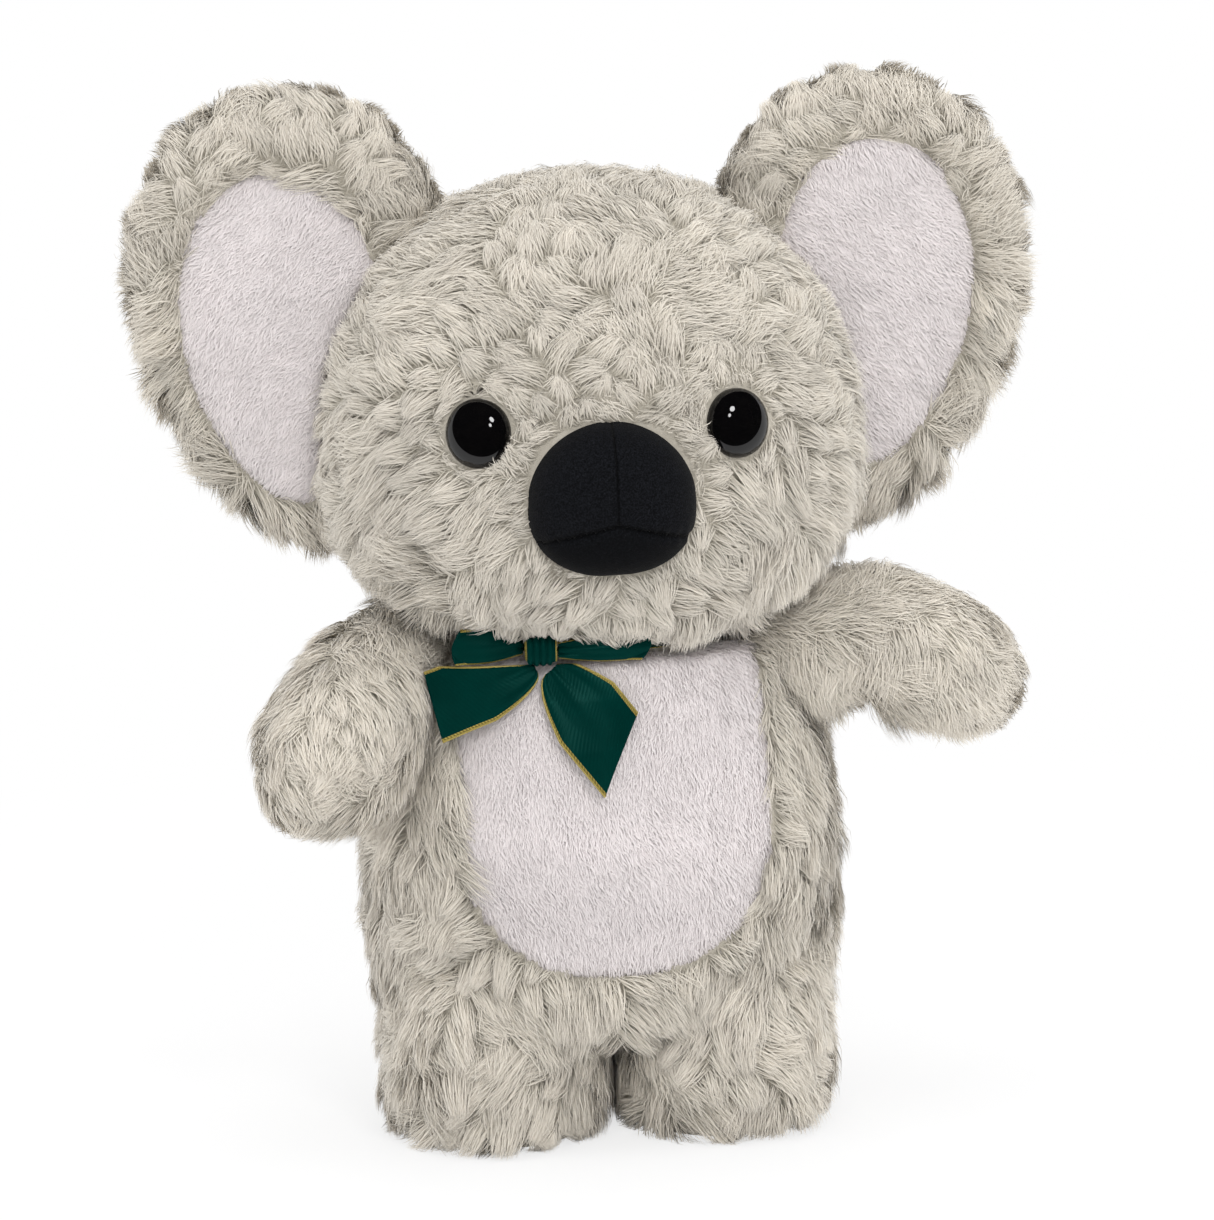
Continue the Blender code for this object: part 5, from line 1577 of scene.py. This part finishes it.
def make_band():
    """Ribbon folded in three round the neck."""
    low_z, high_z = BAND_LOW[2], BAND_HIGH[2]
    radius = (BAND_HIGH[0] - BAND_LOW[0]) / 2
    around, columns = 120, 19
    turn = 2 * np.pi * np.arange(around) / around
    across = np.linspace(0, 1, columns)
    fold = np.abs(np.mod(across * 3 + 1, 2) - 1)
    depth = BAND_FOLD_DEPTH * across
    ripple = BAND_RIPPLE * np.sin(turn * BAND_RIPPLES)[:, None]
    reach = radius - 0.0004 - depth[None, :] + ripple
    rows = np.zeros((around, columns, 3))
    rows[:, :, 0] = reach * np.cos(turn)[:, None]
    rows[:, :, 1] = BODY_Y + reach * np.sin(turn)[:, None]
    rows[:, :, 2] = low_z + 0.0003 + (high_z - low_z - 0.0006) * (0.5 - 0.5 * np.cos(fold * np.pi))
    ribbon_piece(
        "neck_ribbon", rows, "ribbon_neck_band", closed=True)


def make_knot():
    """Strip of ribbon drawn in pleats round the middle of the bow."""
    half = (KNOT_HIGH - KNOT_LOW) / 2
    around, columns = 48, 33
    turn = 2 * np.pi * np.arange(around) / around
    side = np.linspace(-1, 1, columns)
    pleat = KNOT_PLEAT * np.sin(side * math.pi * 4.5)
    bulge = np.sqrt(np.maximum(1 - np.abs(side) ** 3.5 * 0.55, 0))
    out = signed_power(np.cos(turn), 0.75)[:, None] * (half[1] * bulge + pleat)[None, :]
    up = signed_power(np.sin(turn), 0.75)[:, None] * (half[2] * bulge + pleat)[None, :]
    rows = np.zeros((around, columns, 3))
    rows[:, :, 0] = KNOT[0] + half[0] * side * 0.97
    rows[:, :, 1] = KNOT[1] + out * 0.96
    rows[:, :, 2] = KNOT[2] + up * 0.96
    ribbon_piece("bow_middle", rows, "bow_knot", closed=True)


def loop_path(start, end, count):
    """Rows of (x, share of the opening) out to the loop's end and back."""
    path = []
    for k in range(count):
        share = k / (count - 1)
        out = math.sin(math.pi * share) ** 0.8
        gap = math.cos(math.pi * share)
        belly = 0.5 + 0.5 * math.sin(math.pi * min(1, abs(0.5 - abs(share - 0.5)) * 2))
        path.append((start + (end - start) * out, gap * belly))
    return np.array(path)


def make_loops():
    """Each loop is a strip that runs out from the knot, turns and comes back behind itself."""
    for side, name in SIDES:
        low, high = (corner + BOW_RAISE for corner in corners(f"bow_loop_{name}"))
        high = high + (0, 0, 0.0026 if side < 0 else 0.0)
        start, end = (high[0], low[0]) if side < 0 else (low[0], high[0])
        path = loop_path(start, end, 49)
        tall = np.linspace(-1, 1, 15)
        out = np.abs(path[:, 0] - start) / abs(end - start)
        slant = (high[1] - low[1] - 0.0036) * ((1 - out) if side < 0 else out) * 0.6
        bowed = tall[None, :] ** 2 - side * 0.6 * tall[None, :]
        height = 0.58 + 0.42 * np.sin(np.pi * (0.5 * np.minimum(1, out * 1.5)))
        height = (high[2] - low[2]) / 2 * height
        rows = np.zeros((len(path), len(tall), 3))
        rows[:, :, 0] = path[:, 0, None] - side * LOOP_LEAN * out[:, None] * bowed
        rows[:, :, 1] = (low[1] + 0.0018 + slant)[:, None] - path[:, 1, None] * LOOP_GAPE
        rows[:, :, 1] += LOOP_TURN * (tall[None, :] ** 2) * np.sign(path[:, 1, None])
        pleats = np.exp(-2.5 * out)[:, None] * np.cos(tall[None, :] * math.pi * 2.5)
        rows[:, :, 1] -= LOOP_PLEAT * pleats
        rows[:, :, 2] = (low[2] + high[2]) / 2 + height[:, None] * tall
        flat = (0.0105, 2 * abs(end - start))
        node = f"bow_loop_{name}"
        ribbon_piece(f"bow_fold_{name}", rows, node)


def make_tails():
    for name, root_x, width, length, angle_deg, cut in TAILS:
        angle = math.radians(angle_deg)
        along = np.array((math.sin(angle), 0, -math.cos(angle)))
        across = np.array((math.cos(angle), 0, math.sin(angle)))
        top = KNOT_LOW[2] - 0.0004
        half_root = TAIL_ROOT_WIDTH / 2 * abs(math.sin(angle))
        root_z = top - half_root + (0.0018 if root_x < KNOT[0] else 0.0)
        share = np.linspace(0, 1, 56)[:, None]
        side = np.linspace(-0.5, 0.5, 31)[None, :]
        full = TAIL_ROOT_WIDTH + (width - TAIL_ROOT_WIDTH) * np.minimum(1, share * 2) ** 0.5
        reach = share * (length + cut * side * 2 * share)
        rows = np.array((root_x, 0, root_z)) + along * reach[..., None]
        rows = rows + across * (side * full)[..., None]
        rows[..., 2] = np.minimum(rows[..., 2], top)
        belly_y = torso_front(rows[..., 0] * 0.7, rows[..., 2])
        rows[..., 1] = belly_y - TAIL_GAP - TAIL_END_GAP * share
        rows[..., 1] -= TAIL_WAVE * share * np.sin(6.0 * share + 2.4 * side)
        pleat = np.exp(-share * 3.2) * TAIL_PLEAT * np.cos(side * 2 * math.pi * 2.5)
        cup = TAIL_CUP * (side * 2) ** 2 * share
        rows[..., 1] -= np.maximum(0, pleat + cup)
        for edge, column in (("low", 0), ("high", -1)):
            path = rows[:, column] + np.array((0, -0.0003, 0))
            thread(f"bow_thread_{name}_{edge}", path)
        node = f"bow_tail_{name}"
        ribbon_piece(
            f"bow_end_{name}", rows, node)


# Nodes that stay as they are

def finish_inner_nodes():
    for name, node in frame["nodes"].items():
        if node.hide_render:
            continue
        kind = "washer" if "washer" in name else "fibre"
        node.data.materials.clear()
        node.data.materials.append(finish_for(kind))


# Stage

CAMERA_AZIMUTH, CAMERA_ELEVATION, CAMERA_ROLL = -5.6, 9.1, 1.73
CAMERA_DISTANCE = 1.1
VIEW_HEIGHT = 0.3446
VIEW_TARGET = Vector((0.0028, 0.0, 0.1484))
LAMP_AIM = Vector((0, 0, 0.15))
# Distances from the middle at which the floor starts to brighten to white, and is white
FLOOR_FADE = (0.10, 0.55)
# (y, z) of the dark card that bends round behind the camera, and its half width
CARD_PROFILE = ((-0.20, 0.015), (-2.4, 0.015), (-2.4, 3.5), (2.5, 3.5))
CARD_HALF_WIDTH = 5.0


def make_floor():
    """Pale floor that keeps the koala's shadow and fades to white around it."""
    size = 4
    square = np.array([(-size, -size, 0), (size, -size, 0), (size, size, 0), (-size, size, 0)], float)
    floor = stage_piece("floor", square, [[0, 1, 2, 3]])
    finish = Finish("floor")
    seen = finish.seen()
    pale = finish.mixed(finish.speckle(6.0), paint(243, 243, 243), paint(248, 248, 248))
    dull = finish.node("ShaderNodeBsdfDiffuse", None, {"Color": pale})
    glow = {"Color": (1.0, 1.0, 1.0), "Strength": 1.0}
    bright = finish.node("ShaderNodeEmission", None, glow)
    length = {"operation": "LENGTH"}
    apart = finish.node("ShaderNodeVectorMath", length, {0: finish.place()}, "Value")
    share = seen * (0.74 + finish.between(apart, *FLOOR_FADE) * 0.26)
    finish.end(finish.node("ShaderNodeMixShader", None, {0: share, 1: dull, 2: bright}))
    floor.data.materials.append(finish.material)


def stage_piece(name, points, quads):
    """Part of the stage, which isn't part of the koala."""
    made = bpy.data.objects.new(name, mesh_of(name, points, [np.array(quads)]))
    bpy.context.scene.collection.objects.link(made)
    return made


def make_world():
    """Soft light from all round, with a white backdrop."""
    world = bpy.data.worlds.new("studio")
    bpy.context.scene.world = world
    world.use_nodes = True
    studio = Nodes(world.node_tree, "ShaderNodeOutputWorld")
    seen = studio.seen()
    light = {"Color": (0.985, 0.99, 1.0), "Strength": 0.70}
    room = studio.node("ShaderNodeBackground", None, light)
    backdrop = studio.node("ShaderNodeBackground", None, {"Color": (1.0, 1.0, 1.0)})
    studio.end(studio.node("ShaderNodeMixShader", None, {0: seen, 1: room, 2: backdrop}))


def make_card():
    """Dark card seen only in reflections, so that eyes and satin don't mirror a white room."""
    ends = (-CARD_HALF_WIDTH, CARD_HALF_WIDTH)
    card_corners = np.array([(x, y, z) for y, z in CARD_PROFILE for x in ends])
    sides = [[0, 1, 3, 2], [2, 3, 5, 4], [4, 5, 7, 6], [0, 2, 4, 6], [1, 3, 5, 7]]
    card = stage_piece("dark_card", card_corners, sides)
    card.visible_camera = card.visible_diffuse = card.visible_shadow = False
    finish = Finish("dark_card")
    felt = finish.mixed(finish.speckle(40.0), paint(6, 6, 6), paint(14, 14, 14))
    card.data.materials.append(finish.shade(Base_Color=felt, Roughness=1.0, Specular_IOR_Level=0.0))


def lamp(name, place, size, power, glossy=False):
    light = bpy.data.lights.new(name, "AREA")
    light.shape, light.size, light.energy = "DISK", size, power
    made = bpy.data.objects.new(name, light)
    bpy.context.scene.collection.objects.link(made)
    made.location = place
    made.rotation_mode = "QUATERNION"
    made.rotation_quaternion = (LAMP_AIM - Vector(place)).to_track_quat("-Z", "Y")
    made.visible_glossy = glossy


def make_lamps():
    """Five soft lamps, and two small ones that sparkle in the eyes."""
    lamp("front_light", (-0.30, -1.45, 1.25), 1.0, 3.2)
    lamp("top_light", (0.0, -0.2, 1.6), 0.9, 6.0)
    lamp("left_light", (1.55, -0.10, 0.5), 0.9, 4.4)
    lamp("right_light", (-1.55, -0.10, 0.5), 0.9, 4.4)
    lamp("back_light", (0.0, 1.60, 0.9), 1.0, 6.0)
    lamp("spark_light", (0.34, -1.20, 1.10), 0.34, 5.4, glossy=True)
    lamp("spark_light_low", (0.16, -1.40, 0.78), 0.20, 1.8, glossy=True)


def make_camera():
    scene = bpy.context.scene
    data = bpy.data.cameras.new("camera")
    camera = bpy.data.objects.new("camera", data)
    scene.collection.objects.link(camera)
    scene.camera = camera
    azimuth, elevation = math.radians(CAMERA_AZIMUTH), math.radians(CAMERA_ELEVATION)
    level = math.cos(elevation)
    back = Vector((math.sin(azimuth) * level, -math.cos(azimuth) * level, math.sin(elevation)))
    camera.location = VIEW_TARGET + back * CAMERA_DISTANCE
    camera.rotation_mode = "QUATERNION"
    roll = Quaternion((0, 0, 1), math.radians(-CAMERA_ROLL))
    camera.rotation_quaternion = (-back).to_track_quat("-Z", "Y") @ roll
    data.sensor_width = 36.0
    data.lens = data.sensor_width * CAMERA_DISTANCE / VIEW_HEIGHT
    data.clip_start, data.clip_end = 0.05, 20.0


def make_stage():
    bpy.context.scene.view_settings.view_transform = "Standard"
    make_floor()
    make_world()
    make_card()
    make_lamps()
    make_camera()


# Add-on

class KOALA_OT_head(bpy.types.Operator):
    """Makes the head's skin and its long pile"""

    bl_idname = "koala.head"
    bl_label = "Head"

    def execute(self, context):
        make_head()
        return {"FINISHED"}


class KOALA_OT_nose(bpy.types.Operator):
    """Makes the three cloth panels of the nose"""

    bl_idname = "koala.nose"
    bl_label = "Nose"

    def execute(self, context):
        make_nose()
        return {"FINISHED"}


class KOALA_OT_eyes(bpy.types.Operator):
    """Makes the two glossy eyes"""

    bl_idname = "koala.eyes"
    bl_label = "Eyes"

    def execute(self, context):
        make_eyes()
        return {"FINISHED"}


class KOALA_OT_torso(bpy.types.Operator):
    """Makes the torso's skin and its long pile"""

    bl_idname = "koala.torso"
    bl_label = "Torso"

    def execute(self, context):
        make_torso()
        return {"FINISHED"}


class KOALA_OT_belly(bpy.types.Operator):
    """Makes the white belly panel"""

    bl_idname = "koala.belly"
    bl_label = "Belly"

    def execute(self, context):
        make_belly()
        return {"FINISHED"}


class KOALA_OT_arms(bpy.types.Operator):
    """Makes both arms"""

    bl_idname = "koala.arms"
    bl_label = "Arms"

    def execute(self, context):
        make_arms()
        return {"FINISHED"}


class KOALA_OT_legs(bpy.types.Operator):
    """Makes both legs and their soles"""

    bl_idname = "koala.legs"
    bl_label = "Legs"

    def execute(self, context):
        make_legs()
        make_soles()
        return {"FINISHED"}


class KOALA_OT_ears(bpy.types.Operator):
    """Makes both ears and their white panels"""

    bl_idname = "koala.ears"
    bl_label = "Ears"

    def execute(self, context):
        make_ears()
        return {"FINISHED"}


class KOALA_OT_ribbon(bpy.types.Operator):
    """Makes the neck ribbon and its bow"""

    bl_idname = "koala.ribbon"
    bl_label = "Ribbon"

    def execute(self, context):
        make_band()
        make_knot()
        make_loops()
        make_tails()
        return {"FINISHED"}


class KOALA_OT_inside(bpy.types.Operator):
    """Finishes the filling and the washers"""

    bl_idname = "koala.inside"
    bl_label = "Inside"

    def execute(self, context):
        finish_inner_nodes()
        return {"FINISHED"}


class KOALA_OT_stage(bpy.types.Operator):
    """Makes the floor, the lamps and the camera"""

    bl_idname = "koala.stage"
    bl_label = "Stage"

    def execute(self, context):
        make_stage()
        return {"FINISHED"}


OPERATORS = (
    KOALA_OT_head, KOALA_OT_nose, KOALA_OT_eyes, KOALA_OT_torso, KOALA_OT_belly, KOALA_OT_arms,
    KOALA_OT_legs, KOALA_OT_ears, KOALA_OT_ribbon, KOALA_OT_inside, KOALA_OT_stage,
)


class KOALA_PT_parts(bpy.types.Panel):
    """Panel that lists the koala's sizes, colours and pieces."""

    bl_label = "Koala"
    bl_space_type = "VIEW_3D"
    bl_region_type = "UI"
    bl_category = "Koala"

    def draw(self, context):
        for group in (context.scene.koala_pile, context.scene.koala_colours):
            for name in group.__annotations__:
                self.layout.prop(group, name)
        for made in OPERATORS:
            self.layout.operator(made.bl_idname)


CLASSES = (KoalaPile, KoalaColours, *OPERATORS, KOALA_PT_parts)


def register():
    for made in CLASSES:
        bpy.utils.register_class(made)
    bpy.types.Scene.koala_pile = PointerProperty(type=KoalaPile)
    bpy.types.Scene.koala_colours = PointerProperty(type=KoalaColours)


def unregister():
    del bpy.types.Scene.koala_colours
    del bpy.types.Scene.koala_pile
    for made in reversed(CLASSES):
        bpy.utils.unregister_class(made)


def main():
    register()
    for made in OPERATORS:
        group, name = made.bl_idname.split(".")
        getattr(getattr(bpy.ops, group), name)()


if __name__ == "__main__":
    main()
